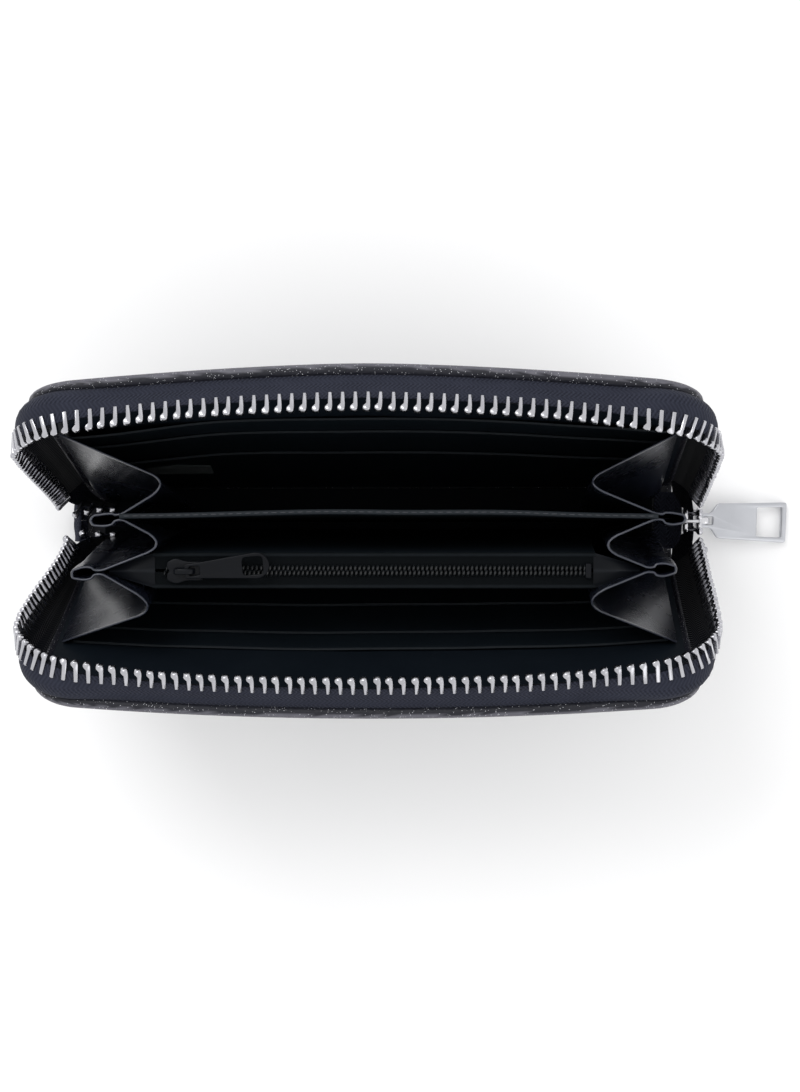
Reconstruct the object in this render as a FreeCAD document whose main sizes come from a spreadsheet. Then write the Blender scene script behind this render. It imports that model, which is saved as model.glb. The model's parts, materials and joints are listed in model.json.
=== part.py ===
import FreeCAD, Part
import math
import os

import Sketcher

# A zip-around long wallet that stands open on its spine, mouth up.
# X runs along the wallet, Y through its thickness, Z up. The origin is the middle of
# the spine's underside. Each cover has a frame of its own: u along the wallet, v up the
# cover from its hinge, w inwards from the cover's outer face.

V = FreeCAD.Vector
doc = FreeCAD.newDocument("long_wallet")
sheet = doc.addObject("Spreadsheet::Sheet", "sizes")

driving = [
    # covers and spine
    ("coverLength", 186.0), ("coverHeight", 98.0), ("cornerRadius", 14.0),
    ("closedThickness", 26.0), ("hingeDepth", 0.6), ("hingeGap", 1.0),
    ("backLean", 16.6), ("frontLean", 20.4), ("backBow", 6.0), ("frontBow", 4.5),
    ("leatherThickness", 1.2), ("boardThickness", 0.8), ("liningThickness", 0.4),
    ("plyGap", 0.05), ("boardInset", 2.0), ("liningInset", 2.4), ("innerStart", 3.0),
    ("cardThickness", 0.5), ("cardInset", 7.5), ("cardStart", 4.0),
    ("cardDropLow", 59.5), ("cardDropMiddle", 43.0), ("cardDropHigh", 34.0),
    ("pipingWidth", 1.6), ("spineInset", 1.1), ("spineBoardInset", 3.4),
    # main zip
    ("tapeThickness", 0.7), ("tapeInset", 2.4), ("tapeFlare", 5.6), ("tapeWidth", 7.2),
    ("rowStart", 19.0), ("toothPitch", 3.4), ("toothBreadth", 1.3), ("toothDepth", 2.3),
    ("toothReach", 4.2), ("rowGap", 0.5), ("trackStandoff", 4.6), ("openEndSpread", 4.6),
    ("openEndLength", 10.0), ("openEndHeight", 7.0), ("openEndOverhang", 1.5),
    # middle divider and gussets
    ("dividerThickness", 0.9), ("dividerDrop", 22.0), ("dividerLeftInset", 28.0),
    ("dividerRightInset", 15.0), ("dividerLean", 4.3), ("insideFloor", 4.2),
    ("gussetThickness", 0.7), ("gussetDrop", 19.0), ("gussetFloor", 3.4), ("gussetSeam", 1.5),
    ("gussetFloorShare", 0.26), ("gussetFootThickness", 0.3),
    ("gussetFootShift", 0.8), ("gussetFootInset", 3.0),
    # coin pocket
    ("pocketLeftInset", 33.0), ("pocketRightInset", 29.0), ("wallThickness", 0.7),
    ("pocketDrop", 23.0), ("wallFit", 0.3), ("pocketBack", 6.2), ("pocketMouth", 9.8),
    ("pocketFoot", 2.6),
    ("coinTapeThickness", 0.5), ("coilWidth", 1.5), ("coilHeight", 1.4), ("coilGap", 0.8),
    ("coilLeftInset", 3.5), ("coilRightInset", 3.0), ("endTabLength", 12.0), ("endTabTip", 2.4),
    ("coinStopLength", 1.2), ("coinStopHeight", 1.0),
    # main slider and pull
    ("sliderLength", 10.4), ("sliderWidth", 9.0), ("sliderTail", 6.8), ("plateThickness", 1.1),
    ("sliderGap", 3.0), ("sliderFoot", 2.4), ("postLength", 1.8), ("postWidth", 0.5),
    ("flangeWidth", 0.7), ("flangeLength", 5.0), ("tapeSlot", 1.4), ("noseLip", 0.4),
    ("noseChamfer", 1.2), ("clipThickness", 0.9), ("clipFit", 0.6),
    ("bridgeWidth", 1.8), ("bridgeSpan", 5.0), ("bridgeClear", 2.0), ("bridgeStrap", 0.9),
    ("bridgeCorner", 0.6), ("bridgeDrop", 1.2),
    ("pullLength", 27.0), ("pullNeck", 4.6), ("pullShoulder", 10.6), ("pullEnd", 12.6),
    ("pullThickness", 1.2), ("neckLength", 3.6), ("shoulderRun", 2.2),
    ("pullCorner", 0.8), ("eyeWidth", 2.4), ("eyeLength", 3.1),
    ("eyeBar", 1.0), ("pullHoleStart", 17.2), ("pullHoleLength", 8.2), ("pullRim", 1.6),
    # coin slider and pull
    ("coinSliderLength", 10.0), ("coinSliderWidth", 7.4), ("coinSliderTail", 5.6),
    ("coinSliderGap", 2.0), ("coinSliderInset", 4.2), ("coinBridgeSpan", 5.8),
    ("coinPullLength", 22.5), ("coinPullWidth", 5.3), ("coinPullEnd", 7.4),
    ("coinPullThickness", 1.1), ("coinEyeLength", 3.2), ("coinHoleStart", 15.6),
    ("coinHoleLength", 5.6), ("coinHoleWidth", 4.6), ("coinPullYaw", 5.0),
    # blank label
    ("labelWidth", 20.0), ("labelHeight", 9.5), ("labelThickness", 0.25),
    ("labelInset", 34.0), ("labelLow", 21.5), ("labelLift", 0.55),
]

for row, (alias, number) in enumerate(driving, 1):
    cell = "A%d" % row
    sheet.set(cell, str(number))
    sheet.setAlias(cell, alias)
doc.recompute()


class Size:
    # a number kept together with the sheet expression that gives it

    def __init__(self, text, value):
        self.text = text
        self.value = value

    def __add__(self, other):
        return Size("(%s + %s)" % (self.text, asSize(other).text), self.value + asSize(other).value)

    def __sub__(self, other):
        return Size("(%s - %s)" % (self.text, asSize(other).text), self.value - asSize(other).value)

    def __mul__(self, other):
        return Size("(%s * %s)" % (self.text, asSize(other).text), self.value * asSize(other).value)

    def __truediv__(self, other):
        return Size("(%s / %s)" % (self.text, asSize(other).text), self.value / asSize(other).value)

    def __neg__(self):
        return Size("(0 - %s)" % self.text, -self.value)


def asSize(thing):
    return thing if isinstance(thing, Size) else Size(repr(float(thing)), float(thing))


class Sizes:
    pass


s = Sizes()
for alias, number in driving:
    setattr(s, alias, Size("sizes." + alias, float(number)))

nothing = asSize(0)
halfLength = s.coverLength / 2
halfThickness = s.closedThickness / 2
hingeY = halfThickness - s.hingeDepth
leans = {1: s.backLean, -1: s.frontLean}
s.trackX = halfLength + s.trackStandoff
s.dividerLeft = halfLength - s.dividerLeftInset
s.dividerRight = halfLength - s.dividerRightInset
s.dividerHeight = s.coverHeight - s.dividerDrop
s.gussetTop = s.coverHeight - s.gussetDrop
s.cardTopLow = s.coverHeight - s.cardDropLow
s.cardTopMiddle = s.coverHeight - s.cardDropMiddle
s.cardTopHigh = s.coverHeight - s.cardDropHigh
s.pocketLeft = halfLength - s.pocketLeftInset
s.pocketRight = halfLength - s.pocketRightInset
s.pocketTop = s.coverHeight - s.pocketDrop
s.coilLeft = s.pocketLeft - s.coilLeftInset
s.coilRight = s.pocketRight - s.coilRightInset
s.coinSliderLeft = s.pocketLeft - s.coinSliderInset
s.labelCentre = halfLength - s.labelInset
bows = {1: s.backBow, -1: s.frontBow}
names = {1: "back", -1: "front"}
parts = []


def keep(thing, label, place=None):
    # names a finished sub-part and puts it in its place
    thing.Label = label
    if place is not None:
        thing.Placement = place
    parts.append(thing)
    return thing


def bind(thing, name, size):
    thing.setExpression(name, asSize(size).text)


# ---- places -------------------------------------------------------------------------

def coverPlace(side):
    # side is 1 for the back cover (+Y) and -1 for the front cover (-Y)
    lean = leans[side].value
    turn = FreeCAD.Rotation(V(0, 0, 1), 0 if side > 0 else 180)
    turn = turn.multiply(FreeCAD.Rotation(V(1, 0, 0), 90 - lean))
    hinge = V(0, side * hingeY.value, s.hingeDepth.value)
    return FreeCAD.Placement(hinge - turn.multVec(V(0, 0, s.hingeDepth.value)), turn)


def uprightPlace(x, y, z, lean=0.0):
    # lean in degrees tips the top towards +Y
    return FreeCAD.Placement(V(x, y, z), FreeCAD.Rotation(V(1, 0, 0), -lean))


# ---- sketches and simple bodies -----------------------------------------------------

def newBody(name):
    return doc.addObject("PartDesign::Body", name + "_body")


def planeSketch(body, name, role, offset=0.0):
    sketch = body.newObject("Sketcher::SketchObject", name)
    plane = [f for f in body.Origin.OriginFeatures if f.Role == role][0]
    sketch.AttachmentSupport = [(plane, "")]
    sketch.MapMode = "FlatFace"
    if isinstance(offset, Size):
        sketch.AttachmentOffset = FreeCAD.Placement(V(0, 0, offset.value), FreeCAD.Rotation())
        bind(sketch, ".AttachmentOffset.Base.z", offset)
    return sketch


def addPolygon(sketch, points):
    # points are pairs of sizes; each corner is held by two dimensions from the origin
    first = sketch.GeometryCount
    count = len(points)
    for i in range(count):
        here = points[i]
        there = points[(i + 1) % count]
        sketch.addGeometry(Part.LineSegment(V(here[0].value, here[1].value, 0),
                                            V(there[0].value, there[1].value, 0)), False)
    for i in range(count):
        sketch.addConstraint(Sketcher.Constraint("Coincident", first + i, 2,
                                                 first + (i + 1) % count, 1))
    for i, (x, y) in enumerate(points):
        for kind, size in (("DistanceX", x), ("DistanceY", y)):
            number = sketch.addConstraint(
                Sketcher.Constraint(kind, -1, 1, first + i, 1, size.value))
            bind(sketch, "Constraints[%d]" % number, size)
    return sketch


def rectangle(x0, x1, y0, y1):
    x0, x1, y0, y1 = asSize(x0), asSize(x1), asSize(y0), asSize(y1)
    return [(x0, y0), (x1, y0), (x1, y1), (x0, y1)]


def mirrored(points):
    # completes an outline given along its upper half, from one end to the other
    return points + [(x, -y) for x, y in reversed(points)]


def addPad(body, sketch, length, both=False):
    pad = body.newObject("PartDesign::Pad", sketch.Name + "_pad")
    pad.Profile = sketch
    bind(pad, "Length", length)
    pad.Midplane = both
    sketch.Visibility = False
    doc.recompute()
    return pad


def addPocket(body, sketch, length, both=True):
    before = body.Shape.Volume
    pocket = body.newObject("PartDesign::Pocket", sketch.Name + "_pocket")
    pocket.Profile = sketch
    bind(pocket, "Length", length)
    pocket.Midplane = both
    pocket.Refine = False
    doc.recompute()
    if body.Shape.Volume > before - 1e-6:
        raise RuntimeError(sketch.Name + " cuts nothing")
    return pocket


def alongZ(edge):
    a, b = edge.Vertexes[0].Point, edge.Vertexes[-1].Point
    return abs(a.x - b.x) < 1e-6 and abs(a.y - b.y) < 1e-6


def roundEdges(body, wanted, radius, name):
    tip = body.Tip
    chosen = ["Edge%d" % (i + 1) for i, edge in enumerate(tip.Shape.Edges) if wanted(edge)]
    fillet = body.newObject("PartDesign::Fillet", name)
    fillet.Base = (tip, chosen)
    bind(fillet, "Radius", radius)
    doc.recompute()
    return fillet


def block(label, size, place, collect=True):
    # a plain plate: size is three sizes, its near corner is at the place
    box = doc.addObject("Part::Box", label + "_box")
    for name, value in zip(("Length", "Width", "Height"), size):
        bind(box, name, value)
    if not collect:
        box.Placement = place
        return box
    return keep(box, label, place)


# ---- covers -------------------------------------------------------------------------

def bowRadius(half, bow):
    return (half * half + bow * bow) / (bow * 2)


def addBand(sketch, half, near, far, bow):
    # a band between w = near and w = far that bulges outwards by bow in its middle
    radius = bowRadius(half, bow)
    swing = math.asin(half.value / radius.value)
    down = -math.pi / 2
    for w in (near, far):
        centre = V(0, w.value - bow.value + radius.value, 0)
        circle = Part.Circle(centre, V(0, 0, 1), radius.value)
        sketch.addGeometry(Part.ArcOfCircle(circle, down - swing, down + swing), False)
    for side in (1, -1):
        sketch.addGeometry(Part.LineSegment(V(side * half.value, near.value, 0),
                                            V(side * half.value, far.value, 0)), False)
    joins = ((0, 2, 2, 1), (1, 2, 2, 2), (0, 1, 3, 1), (1, 1, 3, 2))
    for join in joins:
        sketch.addConstraint(Sketcher.Constraint("Coincident", *join))
    sketch.addConstraint(Sketcher.Constraint("Vertical", 2))
    sketch.addConstraint(Sketcher.Constraint("Vertical", 3))
    sketch.addConstraint(Sketcher.Constraint("Symmetric", 0, 1, 0, 2, -2))
    sketch.addConstraint(Sketcher.Constraint("Equal", 0, 1))
    for rule, size in ((("DistanceX", 0, 1, 0, 2), half * 2),
                       (("DistanceY", -1, 1, 2, 1), near),
                       (("DistanceY", 2, 1, 2, 2), far - near),
                       (("Radius", 0), radius)):
        number = sketch.addConstraint(Sketcher.Constraint(*rule, size.value))
        bind(sketch, "Constraints[%d]" % number, size)


def addOutline(sketch, half, low, high, radius):
    # the outline of a ply: straight sides and foot, and two rounded upper corners
    first = sketch.GeometryCount
    base = [V(-half.value, low.value, 0), V(half.value, low.value, 0)]
    sketch.addGeometry(Part.LineSegment(*base), False)
    for end in (1, -1):
        centre = V(end * (half - radius).value, (high - radius).value, 0)
        side = centre + V(end * radius.value, 0, 0)
        top = centre + V(0, radius.value, 0)
        foot = V(end * half.value, low.value, 0)
        circle = Part.Circle(centre, V(0, 0, 1), radius.value)
        start = 0 if end > 0 else math.pi / 2
        arc = Part.ArcOfCircle(circle, start, start + math.pi / 2)
        if end > 0:
            sketch.addGeometry(Part.LineSegment(foot, side), False)
            sketch.addGeometry(arc, False)
            sketch.addGeometry(Part.LineSegment(top, V(-top.x, top.y, 0)), False)
        else:
            sketch.addGeometry(arc, False)
            sketch.addGeometry(Part.LineSegment(side, foot), False)
    for i in range(6):
        sketch.addConstraint(Sketcher.Constraint("Coincident", first + i, 2,
                                                 first + (i + 1) % 6, 1))
    for kind, line in (("Horizontal", 0), ("Vertical", 1), ("Horizontal", 3), ("Vertical", 5)):
        sketch.addConstraint(Sketcher.Constraint(kind, first + line))
    for kind, arc, end in (("Horizontal", 2, 1), ("Vertical", 2, 2), ("Vertical", 4, 1),
                           ("Horizontal", 4, 2)):
        sketch.addConstraint(Sketcher.Constraint(kind, first + arc, 3, first + arc, end))
    rules = ((("Radius", first + 2), radius),
             (("DistanceX", -1, 1, first, 2), half),
             (("DistanceX", -1, 1, first, 1), -half),
             (("DistanceY", -1, 1, first, 1), low),
             (("DistanceY", -1, 1, first + 3, 1), high))
    for rule, size in rules:
        number = sketch.addConstraint(Sketcher.Constraint(*rule, size.value))
        bind(sketch, "Constraints[%d]" % number, size)


def bowedPanel(label, side, near, far, low, high, half, radius=None):
    # a ply of the cover: flat at its lower edge and bowed outwards at its upper edge.
    # A ply with rounded corners is made oversize, then trimmed to its outline.
    body = newBody(label)
    spare = asSize(0 if radius is None else 3)
    wide = half + spare
    share = wide * wide / (halfLength * halfLength)
    lift = bows[side] * (asSize(1) - share)
    sections = []
    for height in (low, high + spare):
        part = (height - s.hingeGap) / (s.coverHeight - s.hingeGap)
        sketch = planeSketch(body, "%s_at_%d" % (label, len(sections)), "XZ_Plane", -height)
        drop = lift * part
        if part.value < 1e-9:
            addPolygon(sketch, rectangle(-wide, wide, near, far))
        else:
            addBand(sketch, wide, near - drop, far - drop, bows[side] * share * part)
        sections.append(sketch)
    loft = body.newObject("PartDesign::AdditiveLoft", label + "_loft")
    loft.Profile = sections[0]
    loft.Sections = sections[1:]
    loft.Ruled = True
    loft.Refine = False
    doc.recompute()
    if radius is not None:
        trim = planeSketch(body, label + "_outline", "XY_Plane")
        addPolygon(trim, rectangle(-half - 8, half + 8, low - 4, high + 8))
        addOutline(trim, half, low - 2, high, radius)
        addPocket(body, trim, s.closedThickness * 2)
    return keep(body, label, coverPlace(side))


def stackDepths():
    # w of each ply's two faces, from the outer leather to the innermost card slot
    depths = []
    near = nothing
    for thickness in [s.leatherThickness, s.boardThickness, s.liningThickness] + [s.cardThickness] * 3:
        depths.append((near, near + thickness))
        near = near + thickness + s.plyGap
    return depths


def cover(side):
    name = names[side]
    leather, board, lining, high, middle, low = stackDepths()
    top = s.coverHeight
    bowedPanel(name + "_cover_leather", side, *leather, s.hingeGap, top, halfLength, s.cornerRadius)
    bowedPanel(name + "_cover_board", side, *board, s.innerStart, top - s.boardInset,
               halfLength - s.boardInset, s.cornerRadius - s.boardInset)
    bowedPanel(name + "_cover_lining", side, *lining, s.innerStart, top - s.liningInset,
               halfLength - s.liningInset, s.cornerRadius - s.liningInset)
    slots = ((3, high, s.cardTopHigh), (2, middle, s.cardTopMiddle), (1, low, s.cardTopLow))
    for number, depth, height in slots:
        bowedPanel("%s_card_slot_%d" % (name, number), side, *depth, s.cardStart, height,
                   halfLength - s.cardInset)


# ---- main zip: tapes, piping and teeth ----------------------------------------------

def bowAt(side, u, v):
    # how far the cover stands out at (u, v)
    up = (v - s.hingeGap.value) / (s.coverHeight.value - s.hingeGap.value)
    return bows[side].value * (1 - (u / halfLength.value) ** 2) * up


def rimWire(inner, outer, w, start, lift):
    # closed outline of a U-shaped rim round three sides of the cover, at depth w.
    # inner and outer are offsets from the cover's edge; lift raises its middle.
    def side(offset):
        half = halfLength.value + offset
        top = s.coverHeight.value + offset
        radius = s.cornerRadius.value + offset
        slant = radius * (1 - math.sqrt(0.5))
        return [V(half, start, w), V(half, top - radius, w), V(half - slant, top - slant, w),
                V(half - radius, top, w), V(0, top + lift, w)]

    def run(points):
        flipped = [V(-p.x, p.y, p.z) for p in reversed(points)]
        a, b, c, d, middle = points
        e, f, g, k = flipped[1:]
        level = abs(lift) < 1e-9
        top = Part.LineSegment(d, e) if level else Part.Arc(d, middle, e)
        return [Part.LineSegment(a, b).toShape(), Part.Arc(b, c, d).toShape(),
                top.toShape(), Part.Arc(e, f, g).toShape(),
                Part.LineSegment(g, k).toShape()]

    outside = side(outer)
    inside = side(inner)
    ends = [Part.LineSegment(V(-outside[0].x, start, w), V(-inside[0].x, start, w)).toShape(),
            Part.LineSegment(inside[0], outside[0]).toShape()]
    edges = run(outside) + [ends[0]] + run(inside) + [ends[1]]
    return Part.Wire(Part.__sortEdges__(edges))


def slopedSlab(side, near, far):
    # the space between two depths of the bowed cover, wider than the cover itself
    reach = halfLength.value + 12
    base = s.hingeGap.value
    levels = (base, s.coverHeight.value + 14)
    wires = []
    for v in levels:
        line = []
        for w in (near, far):
            ends = [V(x, v, w - bowAt(side, x, v)) for x in (-reach, 0, reach)]
            straight = abs(v - base) < 1e-9
            line.append(Part.LineSegment(ends[0], ends[2]) if straight else Part.Arc(*ends))
        first, second = [edge.toShape() for edge in line]
        a, b = first.Vertexes[0].Point, first.Vertexes[-1].Point
        c, d = second.Vertexes[0].Point, second.Vertexes[-1].Point
        wires.append(Part.Wire([first, Part.LineSegment(b, d).toShape(), second,
                                Part.LineSegment(c, a).toShape()]))
    return Part.makeLoft(wires, True, True)


def rim(side, near, far, innerLow, innerHigh, thickness, start):
    # a rim of the given thickness from depth near to depth far; its offset from the
    # cover's edge grows from innerLow to innerHigh on the way
    slope = (innerHigh - innerLow) / (far - near)
    lift = slope * bows[side].value
    spare = bows[side].value + 1
    wires = []
    for w in (near - spare, far + spare):
        offset = innerLow + slope * (w - near)
        wires.append(rimWire(offset, offset + thickness, w, start, lift))
    return Part.makeLoft(wires, True, True).common(slopedSlab(side, near, far))


tapeLow = stackDepths()[3][0]
tapeHigh = tapeLow + s.tapeWidth
toothTip = halfThickness - s.rowGap


def tapeAndPiping(side):
    name = names[side]
    tape = doc.addObject("Part::Feature", name + "_tape_shape")
    tape.Shape = rim(side, tapeLow.value, tapeHigh.value, -s.tapeInset.value,
                     s.tapeFlare.value - s.tapeInset.value, s.tapeThickness.value,
                     s.rowStart.value)
    keep(tape, name + "_zip_tape", coverPlace(side))
    piping = doc.addObject("Part::Feature", name + "_piping_shape")
    near = stackDepths()[1][0].value
    piping.Shape = rim(side, near, stackDepths()[2][1].value, -s.pipingWidth.value,
                       -s.pipingWidth.value, s.pipingWidth.value, s.innerStart.value)
    keep(piping, name + "_edge_piping", coverPlace(side))


def rowPoint(offset, along):
    # point and outward direction on the rim at a distance along it from the mouth's
    # middle; negative distances run towards -u
    half = halfLength.value + offset
    top = s.coverHeight.value + offset
    radius = s.cornerRadius.value + offset
    flat = half - radius
    bend = radius * math.pi / 2
    away = abs(along)
    sign = 1 if along >= 0 else -1
    if away <= flat:
        return sign * away, top, 0.0, 1.0
    if away <= flat + bend:
        turn = (away - flat) / radius
        return (sign * (flat + radius * math.sin(turn)), top - radius * (1 - math.cos(turn)),
                sign * math.sin(turn), math.cos(turn))
    return sign * half, top - radius - (away - flat - bend), float(sign), 0.0


def toothShape():
    # one metal tooth lying along +Z: a flat stem with a rounded head
    breadth = s.toothBreadth.value
    depth = s.toothDepth.value
    reach = s.toothReach.value
    head = breadth * 0.8
    outline = [V(-breadth / 2, -depth / 2, 0), V(breadth / 2, -depth / 2, 0),
               V(breadth / 2, -depth / 2, reach - head), V(breadth / 4, -depth / 2, reach),
               V(-breadth / 4, -depth / 2, reach), V(-breadth / 2, -depth / 2, reach - head)]
    return Part.Face(Part.makePolygon(outline + outline[:1])).extrude(V(0, depth, 0))


def teeth(side):
    offset = s.tapeFlare.value - s.tapeInset.value + s.tapeThickness.value / 2
    half = halfLength.value + offset
    top = s.coverHeight.value + offset
    radius = s.cornerRadius.value + offset
    reachAlong = (half - radius) + radius * math.pi / 2 + top - radius - s.rowStart.value - 1
    count = int(reachAlong / s.toothPitch.value)
    tilt = math.atan2(s.tapeFlare.value, s.tapeWidth.value)
    tooth = toothShape()
    # a tooth starts where its tip, leaning with the tape, ends just short of the middle
    rise = s.toothReach.value * math.cos(tilt)
    solids = []
    for number in range(-count, count + 1):
        along = (number + (0.5 if side < 0 else 0.0)) * s.toothPitch.value
        if abs(along) > reachAlong:
            continue
        back = s.toothReach.value * math.sin(tilt) * 0.5
        u, v, nu, nv = rowPoint(offset - back, along)
        w = toothTip.value - rise - bowAt(side, u, v)
        direction = V(nu * math.sin(tilt), nv * math.sin(tilt), math.cos(tilt))
        tangent = V(nv, -nu, 0)
        across = direction.cross(tangent)
        turn = FreeCAD.Rotation(tangent, across, direction, "ZXY")
        piece = tooth.copy()
        piece.Placement = FreeCAD.Placement(V(u, v, w), turn)
        solids.append(piece)
    row = doc.addObject("Part::Feature", names[side] + "_teeth_shape")
    row.Shape = Part.makeCompound(solids)
    keep(row, names[side] + "_zip_teeth", coverPlace(side))


def closedEnd():
    # the short closed end of the zip that the slider rests on, at the spine's +X end
    width = s.sliderTail - s.flangeWidth * 2 - s.clipFit
    low = s.sliderFoot - 0.8
    height = s.sliderLength - s.postLength
    block("zip_closed_end_tape", (s.tapeThickness, width, height),
          FreeCAD.Placement(V(s.trackX.value - s.tapeThickness.value / 2, -width.value / 2,
                              low.value), FreeCAD.Rotation()))
    depth = s.sliderGap - s.clipFit
    clip = block("closed_end_clip", (depth, width, s.clipThickness),
                 FreeCAD.Placement(V(s.trackX.value - depth.value / 2,
                                     -width.value / 2, 0.5), FreeCAD.Rotation()), False)
    keep(clip, "main_zip_bottom_stop")


def openEnds():
    # the two open tape ends, turned in at the spine's -X end
    for side in (1, -1):
        place = uprightPlace(-(halfLength + s.openEndOverhang).value,
                             side * s.openEndSpread.value - s.tapeThickness.value / 2,
                             s.insideFloor.value)
        block("%s_tape_open_end" % names[side],
              (s.openEndLength, s.tapeThickness, s.openEndHeight), place)


# ---- spine --------------------------------------------------------------------------

def spine():
    width = (hingeY - 0.5) * 2
    length = s.coverLength - s.spineInset * 2
    block("spine_leather", (length, width, s.leatherThickness),
          uprightPlace(-length.value / 2, -width.value / 2, 0))
    inner = width - s.spineBoardInset
    innerLength = length - s.spineBoardInset
    z = (s.leatherThickness + s.plyGap).value
    block("spine_board", (innerLength, inner, s.boardThickness),
          uprightPlace(-innerLength.value / 2, -inner.value / 2, z))
    z = z + (s.boardThickness + s.plyGap).value
    block("spine_lining", (innerLength, inner, s.liningThickness),
          uprightPlace(-innerLength.value / 2, -inner.value / 2, z))


# ---- divider and gussets ------------------------------------------------------------

def divider():
    block("middle_divider", (s.dividerLeft + s.dividerRight, s.dividerThickness, s.dividerHeight),
          uprightPlace(-s.dividerLeft.value, -s.dividerThickness.value / 2,
                       s.insideFloor.value, s.dividerLean.value))


# the run of each gusset's upper edge: distance in from the cover's end, then y across
# the wallet; sewn stands for the y of the seam on the cover
sewn = "sewn"
gussetRuns = {
    "left_gusset_back": (-1, [(6.0, sewn), (35.0, 11.5), (25.0, 6.6), (16.6, 6.0)]),
    "left_gusset_front": (-1, [(16.6, 2.6), (25.0, 2.4), (34.6, -1.8), (19.0, -8.4), (10.7, -9.2),
                               (10.7, -11.6), (19.0, -12.4), (32.0, -19.2), (6.0, sewn)]),
    "right_gusset_back": (1, [(6.0, sewn), (29.5, 13.6), (12.0, 6.6), (4.0, 6.2)]),
    "right_gusset_front": (1, [(4.0, 2.8), (12.0, 2.2), (26.0, -3.6), (14.5, -8.4), (7.0, -9.2),
                               (7.0, -11.6), (14.5, -12.4), (31.0, -19.8), (6.0, sewn)]),
}


def seamY(side, z, depth):
    # y of the surface at a depth inside a leaning cover, at height z, near the cover's end
    lean = math.radians(leans[side].value)
    inward = depth - s.hingeDepth.value
    along = (z - s.hingeDepth.value - inward * math.sin(lean)) / math.cos(lean)
    return side * (hingeY.value + along * math.sin(lean) - inward * math.cos(lean))


def stripOutline(points, thickness):
    # closed outline of a folded strip of the given thickness along the points; the
    # outside of a sharp fold is blunted, its inside is a full mitre
    count = len(points)
    left, right = [], []
    for i, (x, y) in enumerate(points):
        normals = []
        for a, b in ((points[max(i - 1, 0)], (x, y)), ((x, y), points[min(i + 1, count - 1)])):
            length = math.hypot(b[0] - a[0], b[1] - a[1])
            if length > 1e-9:
                normals.append(((a[1] - b[1]) / length, (b[0] - a[0]) / length))
        first, last = normals[0], normals[-1]
        nx, ny = first[0] + last[0], first[1] + last[1]
        size = math.hypot(nx, ny)
        nx, ny = nx / size, ny / size
        mitre = thickness / 2 / (nx * first[0] + ny * first[1])
        blunt = min(mitre, thickness * 0.8)
        turnsLeft = first[0] * last[1] - first[1] * last[0] > 0
        inner, outer = (mitre, blunt) if turnsLeft else (blunt, mitre)
        left.append((x + nx * inner, y + ny * inner))
        right.append((x - nx * outer, y - ny * outer))
    return left + right[::-1]


def gussets():
    # the foot of a front gusset stands a little forward, clear of the middle divider
    levels = ((s.gussetFloor.value, s.gussetFloorShare.value, s.gussetFootThickness.value, 1),
              (s.gussetTop.value, 1.0, s.gussetThickness.value, 0))
    depth = (stackDepths()[2][1] + s.gussetSeam).value
    for label, (end, run) in gussetRuns.items():
        side = 1 if label.endswith("back") else -1
        forward = s.gussetFootShift.value if side < 0 else 0.0
        rings = []
        for z, share, thickness, atFoot in levels:
            points = []
            for inset, y in run:
                if y != sewn:
                    place = y * share - forward * atFoot
                elif atFoot:
                    place = side * (hingeY - s.gussetFootInset).value
                else:
                    place = seamY(side, z, depth)
                points.append((end * (halfLength.value - inset), place))
            outline = stripOutline(points, thickness)
            ring = [V(x, y, z) for x, y in outline]
            rings.append(Part.makePolygon(ring + ring[:1]))
        strip = doc.addObject("Part::Feature", label + "_shape")
        strip.Shape = Part.makeLoft(rings, True, True)
        keep(strip, label, FreeCAD.Placement())


# ---- coin pocket --------------------------------------------------------------------

pocketCentre = -(s.pocketBack + s.pocketMouth / 2)


def coinWall(label, topY, footY):
    # a wall of the pocket, from its foot on the lining up to the zip tape
    body = newBody(label)
    top = s.pocketTop - s.coinTapeThickness / 2 - s.plyGap
    low = s.insideFloor + s.wallFit * 2
    thickness = s.wallThickness
    sketch = planeSketch(body, label + "_section", "YZ_Plane")
    addPolygon(sketch, [(footY, low), (footY + thickness, low),
                        (topY + thickness, top), (topY, top)])
    addPad(body, sketch, s.pocketLeft + s.pocketRight)
    keep(body, label, FreeCAD.Placement(V(-s.pocketLeft.value, 0, 0), FreeCAD.Rotation()))


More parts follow.
